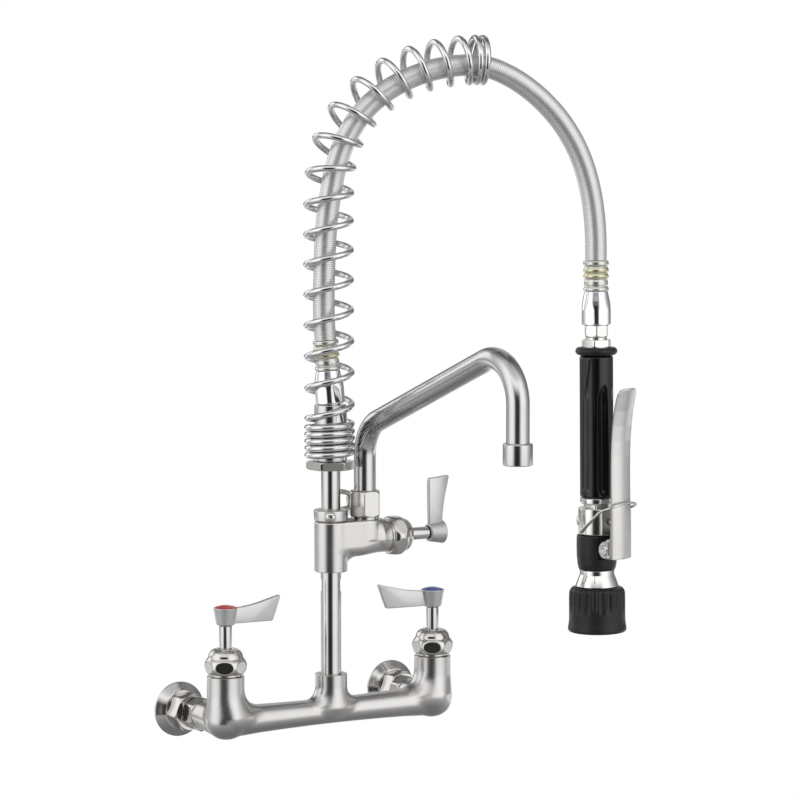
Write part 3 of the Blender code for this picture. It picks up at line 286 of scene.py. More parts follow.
def surface(name, colour, roughness, metallic=1.0, grain=900, long_grain=None, depth=0.012,
            tint=0.05, spread=0.05, patch=45.0, coat=0.0, coat_roughness=0.05, specular=0.5,
            worn=None):
    """A finish with grain, cloudy variation of tone and gloss, and a relief from its grain.

    Grain is how fine the noise is across a piece, and long_grain along its Z where it differs.
    """
    material = bpy.data.materials.new(name)
    material.use_nodes = True
    tree = material.node_tree
    shader = tree.nodes["Principled BSDF"]
    for key, value in (("Metallic", metallic), ("Specular IOR Level", specular),
                       ("Coat Weight", coat), ("Coat Roughness", coat_roughness)):
        shader.inputs[key].default_value = value
    coords = node(tree, "TexCoord").outputs["Object"]
    scaled = node(tree, "Mapping", {
        "Vector": coords, "Scale": (grain, grain, long_grain or grain)}).outputs[0]
    fine, cloud = (node(tree, "TexNoise", {
        "Vector": vector, "Scale": scale, "Detail": detail, "Roughness": rough}).outputs[0]
        for vector, scale, detail, rough in ((scaled, 1.0, 4.0, 0.62),
                                             (coords, patch, 3.0, 0.55)))
    both = maths(tree, "ADD", fine, cloud)
    low, high = 0.7, 1.3       # the range that two noises together mostly keep to
    share = ranged(tree, both, low, high)
    shade = mixed_colour(tree, share, shaded(colour, 1 - tint), shaded(colour, 1 + tint))
    if worn:
        edge = node(tree, "NewGeometry").outputs["Pointiness"]
        broken = maths(tree, "MULTIPLY", ranged(tree, edge, 0.52, 0.60), share)
        shade = mixed_colour(tree, broken, shade, (*worn, 1.0))
    coloured(tree, shade)
    gloss = ranged(tree, both, low, high, max(0.02, roughness - spread), roughness + spread)
    tree.links.new(gloss, shader.inputs["Roughness"])
    bumped(tree, fine, 0.35, depth)
    return material


RIB_PITCH = 1.6                # millimetres between the hose's ribs
STRANDS = 30                   # strands round the hose, each way


def braid():
    """Fine steel braid under a clear sheath; its strands cross in both directions."""
    material = surface("braided_hose", (0.62, 0.61, 0.62), 0.30, 0.6, coat=0.35,
                       coat_roughness=0.18, grain=500, spread=0.03)
    tree = material.node_tree
    laid = node(tree, "UVMap", uv_map="weave").outputs[0]
    round_way, along_way = node(tree, "SeparateXYZ", {0: laid}).outputs[:2]
    waves = []
    for sign in (1.0, -1.0):
        across = maths(tree, "MULTIPLY", round_way, sign * STRANDS * math.tau)
        along = maths(tree, "MULTIPLY_ADD", along_way, math.tau / RIB_PITCH, across)
        waves.append(maths(tree, "SINE", along))
    top = maths(tree, "MAXIMUM", *waves)
    rib = maths(tree, "SINE", maths(tree, "MULTIPLY", along_way, math.tau / RIB_PITCH))
    height = maths(tree, "MULTIPLY_ADD", top, 0.4, rib)
    # Painted shade and painted highlight: the braid's colour is darker in the weave's hollows and lighter on its
    # crests
    coloured(tree, mixed_colour(tree, ranged(tree, height, -0.9, 1.4),
                                (0.56, 0.555, 0.56, 1.0), (0.86, 0.855, 0.86, 1.0)))
    bumped(tree, height, 0.3, 0.06)
    return material


def tinted_sleeve():
    """Crimped metal under a clear sleeve that has yellowed in bands."""
    material = surface("ferrule", (0.70, 0.69, 0.60), 0.20, 0.8, tint=0.04, coat=0.6,
                       coat_roughness=0.08)
    tree = material.node_tree
    along = node(tree, "TexCoord").outputs["Generated"]
    share = node(tree, "SeparateXYZ", {0: along}).outputs[2]
    away = maths(tree, "ABSOLUTE", maths(tree, "SUBTRACT", share, 0.60))
    coloured(tree, mixed_colour(tree, ranged(tree, away, 0.22, 0.13),
                                (0.66, 0.66, 0.62, 1.0), (0.64, 0.62, 0.42, 1.0)))
    return material


TURNED = {"grain": 70, "long_grain": 2600}     # fine rings about a turned piece's own axis
STEEL = (0.60, 0.588, 0.578)
FINISH = {
    "cast": surface("satin_casting", STEEL, 0.25, grain=1300, spread=0.035, patch=25.0),
    "turned": surface("turned_steel", STEEL, 0.15, **TURNED, spread=0.03, depth=0.006,
                      patch=25.0),
    "nut": surface("milled_steel", (0.62, 0.605, 0.585), 0.15, grain=220, long_grain=1500,
                   spread=0.035, depth=0.005),
    "tube": surface("brushed_tube", (0.60, 0.592, 0.592), 0.175, grain=1100, tint=0.04,
                    spread=0.03, depth=0.0012, patch=22.0),
    "hub": surface("bead_blasted_hub", (0.60, 0.60, 0.605), 0.46, 0.85, grain=1600,
                   depth=0.015),
    "blade": surface("satin_blade", (0.61, 0.607, 0.603), 0.36, grain=160, long_grain=2200,
                     tint=0.04, depth=0.008),
    "lever": surface("cast_lever", (0.66, 0.65, 0.635), 0.34, grain=1200, depth=0.015),
    "chrome": surface("polished_chrome", (0.80, 0.80, 0.815), 0.05, grain=500, tint=0.03,
                      spread=0.02, depth=0.001),
    "wire": surface("spring_wire", (0.70, 0.70, 0.715), 0.09, grain=600, tint=0.04,
                    spread=0.03, depth=0.002),
    "bright": surface("plated_nut", (0.74, 0.73, 0.71), 0.12, grain=300, long_grain=900,
                      tint=0.03, spread=0.03, depth=0.003),
    "brass": surface("brass", (0.70, 0.52, 0.26), 0.28, **TURNED, depth=0.01),
    "rubber": surface("black_rubber", (0.010, 0.010, 0.011), 0.40, 0.0, grain=1500, tint=0.15,
                      spread=0.07, depth=0.02, specular=0.4, worn=(0.030, 0.030, 0.031)),
    "grip": surface("gloss_grip", (0.005, 0.005, 0.006), 0.10, 0.0, grain=400, tint=0.12,
                    spread=0.04, depth=0.003, specular=0.4, coat=0.25),
    "red": surface("red_index", (0.55, 0.012, 0.018), 0.22, 0.0, grain=700, tint=0.10,
                   depth=0.01, coat=0.3),
    "blue": surface("blue_index", (0.025, 0.065, 0.34), 0.22, 0.0, grain=700, tint=0.10,
                    depth=0.01, coat=0.3),
    "braid": braid(),
    "ferrule": tinted_sleeve(),
}


# ---- shapes

def rounded(outline, radius, closed):
    """The outline with small arcs at its corners."""
    points = [Vector(point) for point in outline]
    made = []
    for index, corner in enumerate(points):
        if not closed and index in (0, len(points) - 1):
            made.append(corner)
            continue
        before, after = points[index - 1], points[(index + 1) % len(points)]
        back, on = before - corner, after - corner
        if back.length < 1e-6 or on.length < 1e-6:
            continue
        if back.angle(on) > math.radians(166):
            made.append(corner)
            continue
        reach = min(radius, 0.45 * back.length, 0.45 * on.length)
        start, end = corner + back.normalized() * reach, corner + on.normalized() * reach
        for share in (0.0, 0.33, 0.67, 1.0):
            first, second = start.lerp(corner, share), corner.lerp(end, share)
            made.append(first.lerp(second, share))
    return made


def arc(centre, radius, start, end, steps):
    turns = [math.radians(start + (end - start) * step / steps) for step in range(steps + 1)]
    return [(centre[0] + radius * math.cos(turn), centre[1] + radius * math.sin(turn))
            for turn in turns]


def soft_min(first, second, blend):
    share = np.maximum(blend - np.abs(first - second), 0.0) / blend
    return np.minimum(first, second) - share * share * blend / 4


def soft_max(first, second, blend):
    return -soft_min(-first, -second, blend)


def flats(across, turn):
    """Radius of a hexagonal piece: its own, cut back to flats whose first corner is at turn."""
    def cut(radius, height, angle):
        step = math.tau / 6
        from_flat = (angle - math.radians(turn)) % step - step / 2
        return soft_min(radius, across / 2 / np.cos(from_flat), 0.45)
    return cut


def raised(points, height):
    return [(reach, above + height) for reach, above in points]


def filled(outline, bore=0.0):
    """The outline closed at each end down to a bore, or to the axis."""
    return [(bore, outline[0][1])] + outline + [(bore, outline[-1][1])]


def hex_outline(across, bore, low, high, ease, rises):
    """A hexagonal nut's outline at its corners, eased over a rise at each end."""
    corner = across / math.sqrt(3)
    return filled([(corner - ease, low), (corner, low + rises[0]), (corner, high - rises[1]),
                   (corner - ease, high)], bore)


ON_AXIS = 1e-6


def turned(outline, shape=None, segments=72, bevel=0.35, step=None):
    """A bmesh of (radius, height) points turned about Z; shape changes the radius round it."""
    closed = outline[0][0] > ON_AXIS
    points = rounded(outline, bevel, closed)
    if step:
        fine = []
        for start, end in zip(points, points[1:] + points[:closed]):
            count = max(1, math.ceil((end - start).length / step))
            fine += [start.lerp(end, number / count) for number in range(count)]
        points = fine if closed else fine + [points[-1]]
    angles = np.arange(segments) * math.tau / segments
    builder = bmesh.new()
    rings = []
    for radius, height in points:
        if radius < ON_AXIS:
            rings.append([builder.verts.new((0, 0, height * MM))])
            continue
        reach = np.full(segments, radius)
        if shape:
            reach = shape(reach, height, angles)
        rings.append([builder.verts.new((far * math.cos(angle) * MM, far * math.sin(angle) * MM,
                                         height * MM)) for far, angle in zip(reach, angles)])
    for ring, above in zip(rings, rings[1:] + rings[:closed]):
        for number in range(segments):
            there = (number + 1) % segments
            corners = dict.fromkeys([ring[number % len(ring)], ring[there % len(ring)],
                                     above[there % len(above)], above[number % len(above)]])
            if len(corners) > 2:
                builder.faces.new(list(corners))
    return builder


def solid(outline):
    return turned(filled(outline), segments=40)


def smooth_route(points, spacing):
    """Evenly spaced points on a smooth curve through a route's own points."""
    ends = [points[0] * 2 - points[1]] + list(points) + [points[-1] * 2 - points[-2]]
    fine, steps = [], 24
    for before, start, end, after in zip(ends, ends[1:], ends[2:], ends[3:]):
        for number in range(steps):
            t = number / steps
            fine.append(0.5 * (2 * start + (end - before) * t
                               + (2 * before - 5 * start + 4 * end - after) * t * t
                               + (3 * start - before - 3 * end + after) * t * t * t))
    fine.append(points[-1])
    lengths = [0.0]
    for first, second in zip(fine, fine[1:]):
        lengths.append(lengths[-1] + (second - first).length)
    count = max(2, round(lengths[-1] / spacing))
    even = []
    index = 0
    for number in range(count + 1):
        wanted = lengths[-1] * number / count
        while index < len(fine) - 2 and lengths[index + 1] < wanted:
            index += 1
        span = lengths[index + 1] - lengths[index]
        even.append(fine[index].lerp(fine[index + 1], (wanted - lengths[index]) / span))
    return even


def ringed(builder, first, second):
    """Faces between two rings of as many points."""
    for n in range(len(first)):
        there = (n + 1) % len(first)
        yield n, builder.faces.new((first[n], first[there], second[there], second[n]))


def swept(points, radius, sides=20, weave=False, inner=0.0, ends=True):
    """A bar or tube along a path, with a woven lay of (share round, millimetres along)."""
    builder = bmesh.new()
    lay = builder.loops.layers.uv.new("weave") if weave else None
    tangents = [(after - before).normalized()
                for before, after in zip([points[0]] + points[:-1], points[1:] + [points[-1]])]
    travelled = [0.0]
    for first, second in zip(points, points[1:]):
        travelled.append(travelled[-1] + (second - first).length)
    layers = []
    for reach in ([radius, inner] if inner else [radius]):
        rings = []
        side = tangents[0].orthogonal().normalized()
        for point, tangent, along in zip(points, tangents, travelled):
            side = (side - tangent * side.dot(tangent)).normalized()
            other = tangent.cross(side)
            near_end = min(along, travelled[-1] - along)
            far = reach
            if ends and not inner and near_end < radius:
                far = math.sqrt(max(0.0, radius ** 2 - (radius - near_end) ** 2)) or radius * 0.2
            rings.append([builder.verts.new((point + (side * math.cos(math.tau * n / sides)
                          + other * math.sin(math.tau * n / sides)) * far) * MM)
                          for n in range(sides)])
        layers.append(rings)
    for rings in layers:
        for index, (first, second) in enumerate(zip(rings, rings[1:])):
            for n, face in ringed(builder, first, second):
                if lay:
                    for loop, (share, far) in zip(face.loops, (
                            (n, index), (n + 1, index), (n + 1, index + 1), (n, index + 1))):
                        loop[lay].uv = (share / sides, travelled[far])
    for place in (0, -1):
        if inner:
            list(ringed(builder, layers[0][place], layers[1][place]))
        else:
            builder.faces.new(layers[0][place])
    return builder


def plate(outline, low, high, bevel):
    """A flat piece cut to an outline of (x, z), from y = low to high, with its edges eased."""
    builder = bmesh.new()
    face = builder.faces.new([builder.verts.new(Vector((x, low, z)) * MM) for x, z in outline])
    extruded = bmesh.ops.extrude_face_region(builder, geom=[face])["geom"]
    moved = [item for item in extruded if isinstance(item, bmesh.types.BMVert)]
    bmesh.ops.translate(builder, verts=moved, vec=Vector((0, high - low, 0)) * MM)
    edges = [edge for edge in builder.edges if edge.calc_face_angle(0) > math.radians(30)]
    bmesh.ops.bevel(builder, geom=edges, offset=bevel * MM, segments=3, profile=0.5,
                    affect="EDGES", clamp_overlap=True)
    return builder


def stored(name, builder):
    mesh = bpy.data.meshes.new(name)
    builder.to_mesh(mesh)
    builder.free()
    return mesh


def joined(*parts):
    """One bmesh out of several, each (bmesh, matrix or None)."""
    whole = bmesh.new()
    for builder, matrix in parts:
        if matrix is not None:
            bmesh.ops.transform(builder, matrix=matrix, verts=builder.verts)
        spare = stored("spare", builder)
        whole.from_mesh(spare)
        bpy.data.meshes.remove(spare)
    return whole


SLOT_OF = {entry["node"]: entry["material_slot"] for entry in frame["record"]["subparts"]}


def piece(name, builder, place, finish, sharp=40.0):
    """Store a bmesh as the visible piece for a CAD node, on that node's body."""
    bmesh.ops.recalc_face_normals(builder, faces=builder.faces)
    mesh = stored(f"{name}_look", builder)
    mesh.shade_smooth()
    mesh.set_sharp_from_angle(angle=math.radians(sharp))
    mesh.materials.append(FINISH[finish])
    item = shown(f"{name}_look", mesh)
    item.matrix_world = place
    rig.ride(item, frame["nodes"][name]["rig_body"])
    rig.replaces(item, name)
    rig.slot(item, SLOT_OF[name])
    return item


def lathed(name, outline, place, finish, segments=72, bevel=0.35):
    """A plain turned piece, stored as piece() does."""
    return piece(name, turned(outline, segments=segments, bevel=bevel), place, finish)


def nut(name, outline, across, turn, place, finish="nut", segments=120, bevel=0.3, step=0.45):
    """A turned piece milled to a hexagon, stored as piece() does."""
    builder = turned(outline, flats(across, turn), segments, bevel, step)
    return piece(name, builder, place, finish)


# ---- castings

def polygon(across, along, corners):
    """Signed distance from points to a closed polygon, negative inside it."""
    best = np.full(len(across), 1e9)
    inside = np.zeros(len(across), bool)
    for (ax, ay), (bx, by) in zip(corners, corners[1:] + corners[:1]):
        ex, ey = bx - ax, by - ay
        wx, wy = across - ax, along - ay
        share = np.clip((wx * ex + wy * ey) / (ex * ex + ey * ey), 0.0, 1.0)
        best = np.minimum(best, (wx - share * ex) ** 2 + (wy - share * ey) ** 2)
        if ay != by:
            crosses = (ay > along) != (by > along)
            inside ^= crosses & (across < ax + (along - ay) * ex / ey)
    return np.where(inside, -1.0, 1.0) * np.sqrt(best)


CORE = -30.0                   # a turned solid's outline closes beyond its own axis


def revolved(points, origin, axis, outline):
    """Signed distance to a solid turned about an axis from (radius, along) points."""
    away = points - np.array(origin, float)
    along = away @ np.array(axis, float)
    across = np.linalg.norm(away - np.outer(along, axis), axis=1)
    return polygon(across, along, filled(outline, CORE))


def evaluated(item):
    """A bmesh of an object with its modifiers applied; the object itself goes."""
    made = bmesh.new()
    made.from_object(item, bpy.context.evaluated_depsgraph_get())
    bpy.data.objects.remove(item)
    return made


def cast(field, rough_shape, voxel):
    """Mesh of a field's zero surface: a voxel skin of a rough shape, drawn onto the field."""
    bmesh.ops.recalc_face_normals(rough_shape, faces=rough_shape.faces)
    item = shown("rough", stored("rough", rough_shape))
    skin = item.modifiers.new("skin", "REMESH")
    skin.mode, skin.voxel_size, skin.adaptivity = "VOXEL", voxel * MM, 0.0
    made = evaluated(item)
    made.verts.ensure_lookup_table()
    points = np.array([vert.co for vert in made.verts]) / MM
    pairs = np.array([[vert.index for vert in edge.verts] for edge in made.edges])
    degree = np.bincount(pairs.ravel(), minlength=len(points))[:, None]
    probe = np.array([(1, -1, -1), (-1, -1, 1), (-1, 1, -1), (1, 1, 1)], float)
    reach, longest, least_slope, relaxed = 0.05, 1.5, 0.05, 0.55
    for number in range(9):
        values = np.stack([field(points + reach * way) for way in probe])
        slope = (values[:, :, None] * probe[:, None, :]).sum(0) / (4 * reach)
        steep = np.maximum((slope * slope).sum(1), least_slope)
        points -= slope * np.clip(values.mean(0) / steep, -longest, longest)[:, None]
        if number in (2, 4, 6):
            total = np.zeros_like(points)
            np.add.at(total, pairs[:, 0], points[pairs[:, 1]])
            np.add.at(total, pairs[:, 1], points[pairs[:, 0]])
            points = (1 - relaxed) * points + relaxed * total / degree
    for vert, point in zip(made.verts, points):
        vert.co = Vector(point) * MM
    return made


CUT_REACH = 20.0               # how far round an axis a casting is cut back


def faced(builder, end, axis, rim, bore, depth, rise=0.4):
    """Cut a casting square across an axis below its end and turn a rim and a bore there."""
    axis = Vector(axis)
    origin = (Vector(end) - axis * rise) * MM
    geometry = builder.verts[:] + builder.edges[:] + builder.faces[:]
    bmesh.ops.bisect_plane(builder, geom=geometry, plane_co=origin, plane_no=axis, dist=1e-7)

    def apart(vert):
        """How high above the cut a vertex is, and its way out from the axis."""
        away = vert.co - origin
        height = away.dot(axis)
        return height, away - axis * height

    def beyond(vert):
        height, out = apart(vert)
        return height > 1e-6 and out.length < CUT_REACH * MM

    bmesh.ops.delete(builder, geom=[vert for vert in builder.verts if beyond(vert)],
                     context="VERTS")
    loop = [edge for edge in builder.edges if edge.is_boundary
            and all(abs(apart(vert)[0]) < 1e-5 for vert in edge.verts)]
    last = {vert: vert for edge in loop for vert in edge.verts}
    ways = {vert: apart(vert)[1].normalized() for vert in last}
    for radius, height in ((rim, rise), (bore, rise), (bore, -depth)):
        ring = {vert: builder.verts.new(origin + ways[vert] * radius * MM + axis * height * MM)
                for vert in ways}
        for edge in loop:
            one, two = edge.verts
            builder.faces.new((last[one], last[two], ring[two], ring[one]))
        last = ring
    hub = builder.verts.new(origin - axis * depth * MM)
    for edge in loop:
        one, two = edge.verts
        builder.faces.new((last[one], last[two], hub))


def smooth_step(value, start, end):
    share = np.clip((value - start) / (end - start), 0, 1)
    return share * share * (3 - 2 * share)


def mixer_body():
    dome = arc((0.0, 2.7), 17.0, -89, 0, 12)
    column = dome + [(16.4, 12), (15.8, 22), (15.7, 30), (15.7, 48)]
    half_tube = [(10.8, 0), (10.9, 22), (11.4, 50), (12.0, 71), (12.9, 86), (13.4, 99)]
    tube = [(radius, -reach) for radius, reach in half_tube[::-1]] + half_tube[1:]
    boss = [(11.5, -5), (14.6, 4), (14.2, 13), (13.6, 21), (13.6, 42)]
    inlet = [(14.0, 2), (13.4, 14), (12.2, 27), (12.2, 44)]

    def field(points):
        above = np.clip((points[:, 2] + 6) / 12, 0, 1)
        body = revolved(points, (0, 0, 0.6), (1, 0, 0), tube)
        for side in (-1, 1):
            place = (side * VALVE_SPACING, 0, 0)
            body = soft_min(body, revolved(points, place, (0, 0, 1), column),
                            3.0 + 13.0 * above)
            body = soft_min(body, revolved(points, place, (0, 1, 0), inlet), 2.0 + 5.0 * above)
        return soft_min(body, revolved(points, (0, 0, 0), (0, 0, 1), boss),
                        1.5 + 9.5 * above)

    parts = [(solid(tube), aimed((1, 0, 0))), (solid(boss), None)]
    for side in (-1, 1):
        place = (side * VALVE_SPACING, 0, 0)
        parts += [(solid(column), aimed((0, 0, 1), place)), (solid(inlet), aimed((0, 1, 0), place))]
    body = cast(field, joined(*parts), 1.15)
    for side in (-1, 1):
        across = side * VALVE_SPACING
        faced(body, (across, 0, COLUMN_TOP), (0, 0, 1), 15.2, 12.0, 12.0, 0.45)
        faced(body, (across, 38.2, 0), (0, 1, 0), 11.8, 6.6, 14.0)
    faced(body, (0, 0, 32.5), (0, 0, 1), 13.2, 9.1, 12.0)
    piece("mixer_body", body, RISER, "cast", sharp=38)


def filler_body():
    boss = [(14.0, FILLER_BOTTOM - 6), (14.0, FILLER_TOP + 6)]
    arm = [(13.9, 0), (13.9, 40), (13.5, 50), (13.5, 60)]
    low = FILLER_HEIGHT

    def field(points):
        x, y, z = points.T
        share = smooth_step(x, 22, 48)
        corner = 10.0 + 3.4 * share
        bottom, top = low - 15.0 + 1.5 * share, low + 30.0 - 16.5 * share
        across = np.abs(y) - (13.9 - 0.4 * share - corner)
        upright = np.abs(z - (bottom + top) / 2) - ((top - bottom) / 2 - corner)
        limb = (np.hypot(np.maximum(across, 0), np.maximum(upright, 0))
                + np.minimum(np.maximum(across, upright), 0) - corner)
        limb = soft_max(limb, np.maximum(x - 60, -x), 0.5)
        under = np.clip((low + 3 - z) / 7, 0, 1) * np.clip(1 - (y / 14.5) ** 2, 0, 1)
        body = soft_min(revolved(points, (0, 0, 0), (0, 0, 1), boss), limb, 1.2 + 9 * under)
        seat = revolved(points, (SPOUT_OFFSET, 0, 0), (0, 0, 1),
                        [(14.2, low - 1), (14.2, FILLER_TOP + 6)])
        shoulder = np.clip((x - 39) / 6, 0, 1)
        body = soft_min(body, seat, 1.2 + 9 * shoulder)
        return soft_max(body, z - FILLER_TOP, 1.6)

    middle = plate([(0, low), (SPOUT_OFFSET, low), (SPOUT_OFFSET, FILLER_TOP), (0, FILLER_TOP)],
                   -13.5, 13.5, 0.5)
    rough = joined((solid([(14.0, FILLER_BOTTOM - 6), (14.0, FILLER_TOP)]), None),
                   (solid(arm), aimed((1, 0, 0), (0, 0, low))),
                   (solid([(14.2, low), (14.2, FILLER_TOP)]),
                    aimed((0, 0, 1), (SPOUT_OFFSET, 0, 0))), (middle, None))
    body = cast(field, rough, 0.9)
    faced(body, (0, 0, FILLER_BOTTOM), (0, 0, -1), 13.5, 9.1, 8.0, 0.5)
    faced(body, (ARM_END, 0, low), (1, 0, 0), 13.2, 12.0, 8.0)
    piece("filler_body", body, RISER, "cast", sharp=38)


def squeeze_lever():
    """Channel section with a rounded back, ears at its pivot and a flared, rounded tip."""
    half, flare, wall = 12.8, 2.0, 2.2     # ears' half width, the back's extra, thickness
    crown, tip_round, top = 3.8, 12.0, 274.0   # how far the back is bowed; the tip's round
    pin_hole = 2.5
    foot = (31.8, 90.0)

    def moved(points):
        return [(x - PIVOT_REACH, z - PIVOT_HEIGHT) for x, z in points]

    ear = arc((PIVOT_REACH, PIVOT_HEIGHT), 7.6, 100, 268, 14)
    back = [(31.8, 126.7), (31.9, 150.0), (31.7, 168.0), (31.2, 178.0), (31.0, 196.0),
            (31.1, 215.0), (31.6, 228.0), (32.8, 241.0), (34.8, 254.0), (37.8, 267.0)]
    tip = [(38.6, 270.3), (39.1, 272.3), (38.7, 273.6), (37.5, 273.5)]
    inside = [(35.4, 270.6), (32.9, 264.6), (30.8, 256.0), (29.1, 246.0), (28.1, 236.0),
              (27.2, 224.0), (26.6, 205.0), (26.5, 150.0), (25.8, 144.5)]
    outer = moved(ear + back + tip + inside)
    cavity = moved([(5.0, 90.0)] + [(x - wall, z) for x, z in [foot] + back[1:-1]]
                   + [(37.2 - wall, 266.5), (5.0, 266.5)])

    def field(points):
        x, y, z = points.T
        reaches, heights = zip(*back)
        spine = np.interp(z + PIVOT_HEIGHT, heights, reaches) - PIVOT_REACH
        near = np.clip((x - spine + 12.0) / 8.0, 0, 1)
        x = x + crown * (y / half) ** 2 * near
        sideways, softness = np.abs(y) - half - flare * near, 0.9 + 3.0 * near
        shell = soft_max(polygon(x, z, outer), sideways, softness)
        hollow = soft_max(polygon(x, z, cavity), sideways + wall, softness)
        shell = soft_max(shell, -hollow, 0.7)
        corner = np.stack([sideways + tip_round, z - (top - PIVOT_HEIGHT - tip_round)], 1)
        tongue = (np.linalg.norm(np.maximum(corner, 0), axis=1)
                  + np.minimum(corner.max(1), 0) - tip_round)
        shell = soft_max(shell, tongue, 1.2)
        return soft_max(shell, pin_hole - np.hypot(x, z), 0.4)

    body = shown("lever_rough", stored("lever_rough", plate(outer, -half, half, 0.6)))
    tool = shown("lever_tool", stored("lever_tool", plate(cavity, wall - half, half - wall,
                                                          0.3)))
    cut = body.modifiers.new("cut", "BOOLEAN")
    cut.object, cut.operation, cut.solver = tool, "DIFFERENCE", "EXACT"
    shell = evaluated(body)
    bpy.data.objects.remove(tool)
    piece("squeeze_lever", cast(field, shell, 0.75),
          at(x=PIVOT_REACH, z=PIVOT_HEIGHT, parent=SPRAY), "lever", sharp=60)


# ---- inlets and valves

def inlets():
    out = aimed((0, -1, 0))
    flange = filled([(22.9, 0), (23.4, 0.5), (23.4, 1.7), (22.4, 2.6), (19.6, 5.0), (17.3, 7.4),
                     (16.4, 8.0)], 8.9)
    locknut = hex_outline(29.0, 8.9, 8.3, 24.8, 2.0, (1.7, 1.7))
    union = hex_outline(25.0, 8.3, 25.9, 39.3, 1.6, (1.5, 1.8))
    for name, side in (("hot", -1), ("cold", 1)):
        axis = at(x=side * VALVE_SPACING)
        wall_axis = at(x=side * FLANGE_OFFSET, parent=axis)
        lathed(f"wall_flange_{name}", flange, wall_axis @ out, "turned", 96)
        nut(f"flange_locknut_{name}", locknut, 29.0, 8.0, wall_axis @ out)
        nut(f"union_nut_{name}", union, 25.0, 22.0, axis @ out)


def valve(name, axis, heading, index, square=0.0):
    """Nut, stem and handle; square brings the blade's end nearer to square, in millimetres."""
    outline = ([(9.0, -8.0), (11.5, -8.0), (11.5, 0.3), (13.5, 0.3), (13.5, 2.1)]
               + arc((8.8, 8.6), 9.0, -46, 46, 14)
               + [(14.6, 15.9), (14.2, 18.2), (13.0, 20.4), (11.0, 22.2), (8.4, 23.1),
                  (6.6, 23.1), (6.2, 22.2), (5.65, 22.0), (5.65, 12.0), (9.0, 12.0)])
    nut(f"bonnet_nut_{name}", outline, 32.2, -91.5, axis, "nut", 144, 0.35, 0.5)
    handle_axis = at(heading=heading, parent=axis)
    stem = filled([(5.35, 12.5), (5.35, 41.8), (4.9, 42.3), (4.9, 43.5)])
    lathed(f"stem_{name}", stem, handle_axis, "turned", 56, 0.25)
    hub = [(5.7, 0), (7.1, 0), (7.7, 0.7), (9.9, 13.3), (10.1, 14.0), (9.7, 14.5), (9.1, 14.5),
           (9.1, 13.3), (4.0, 13.3), (4.0, 10.1), (2.2, 10.1), (2.2, 9), (5.7, 9)]
    drop = 0.4 * square
    blade = [(6.5, 0.6), (24.0, 0.4), (43.2 + square, 0.2), (44.4 + square, 1.1), (47.7, 9.8),
             (51.4 - square, 20.2 - drop), (50.8 - square, 21.4 - drop), (42.0, 19.2),
             (32.0, 16.7), (23.0, 15.0), (15.0, 14.1), (6.5, 13.6)]
    item = piece(f"handle_{name}", joined((turned(raised(hub, HUB_LOW), bevel=0.4), None),
                                          (plate(raised(blade, HUB_LOW), -2.2, 2.2, 0.75), None)),
                 handle_axis, "hub")
    item.data.materials.append(FINISH["blade"])
    # The blade's own faces take its satin finish; the rest is the blasted hub
    hub_edge, hub_inside, half_blade = 9.9 * MM, 7.5 * MM, 2.3 * MM
    for face in item.data.polygons:
        x, y, _ = face.center
        if x > hub_edge or (x > hub_inside and abs(y) < half_blade):
            face.material_index = 1
    screw = [(0, 10), (1.6, 10), (1.6, 10.3), (3.6, 10.3), (3.6, 11.9), (3.0, 12.6),
             (1.5, 12.6), (1.5, 11.2), (0, 11.2)]
    lathed(f"handle_screw_{name}", raised(screw, HUB_LOW), handle_axis, "bright", 40, 0.2)
    if index:
        disc = [(0, 13.5), (8.9, 13.5), (8.9, 14.7), (8.3, 15.1), (6.6, 15.6), (5.9, 15.4),
                (5.3, 15.8), (3.0, 16.4), (0, 16.6)]
        lathed(f"index_disc_{name}", raised(disc, HUB_LOW), handle_axis, index, 64, 0.4)


# ---- riser, collar, hook, spout

def risers():
    flat_from, flat_to = 102.8, 113.9          # the lower riser's two wrench flats
    flat_heading, flat_half = math.radians(-31.5), 7.9

    def milled(radius, height, angle):
        """The tube's own radius, cut back to the two flats between their ends."""
        if flat_from <= height <= flat_to and radius[0] > 7:
            away = np.abs(np.cos(angle - flat_heading))
            return np.minimum(radius, flat_half / np.maximum(away, 1e-3))
        return radius

    tube = [(8.75, height) for height in (20.0, flat_from - 0.1, flat_from, flat_to,
                                          flat_to + 0.1, 132.0)]
    piece("lower_riser", turned(filled(tube, 6.0), milled, 96, 0.05, 2.5), RISER, "turned",
          sharp=25)
    lathed("upper_riser", filled([(8.15, 151.0), (8.15, 249.0)], 6.0), RISER, "turned")
    corner = 36.4 / math.sqrt(3)
    collar = filled([(corner - 1.6, 206.8), (corner, 208.0), (corner, 212.8),
                     (corner - 1.2, 213.8)], 8.45)
    nut("spring_collar", collar, 36.4, -24.0, RISER, "nut", 132, 0.3, 0.4)
    sleeve = filled([(13.7, 214.1), (13.7, 261.2), (13.2, 261.7), (9.3, 261.7), (9.3, 249.4)],
                    8.45)
    lathed("swivel_sleeve", sleeve, RISER, "turned")


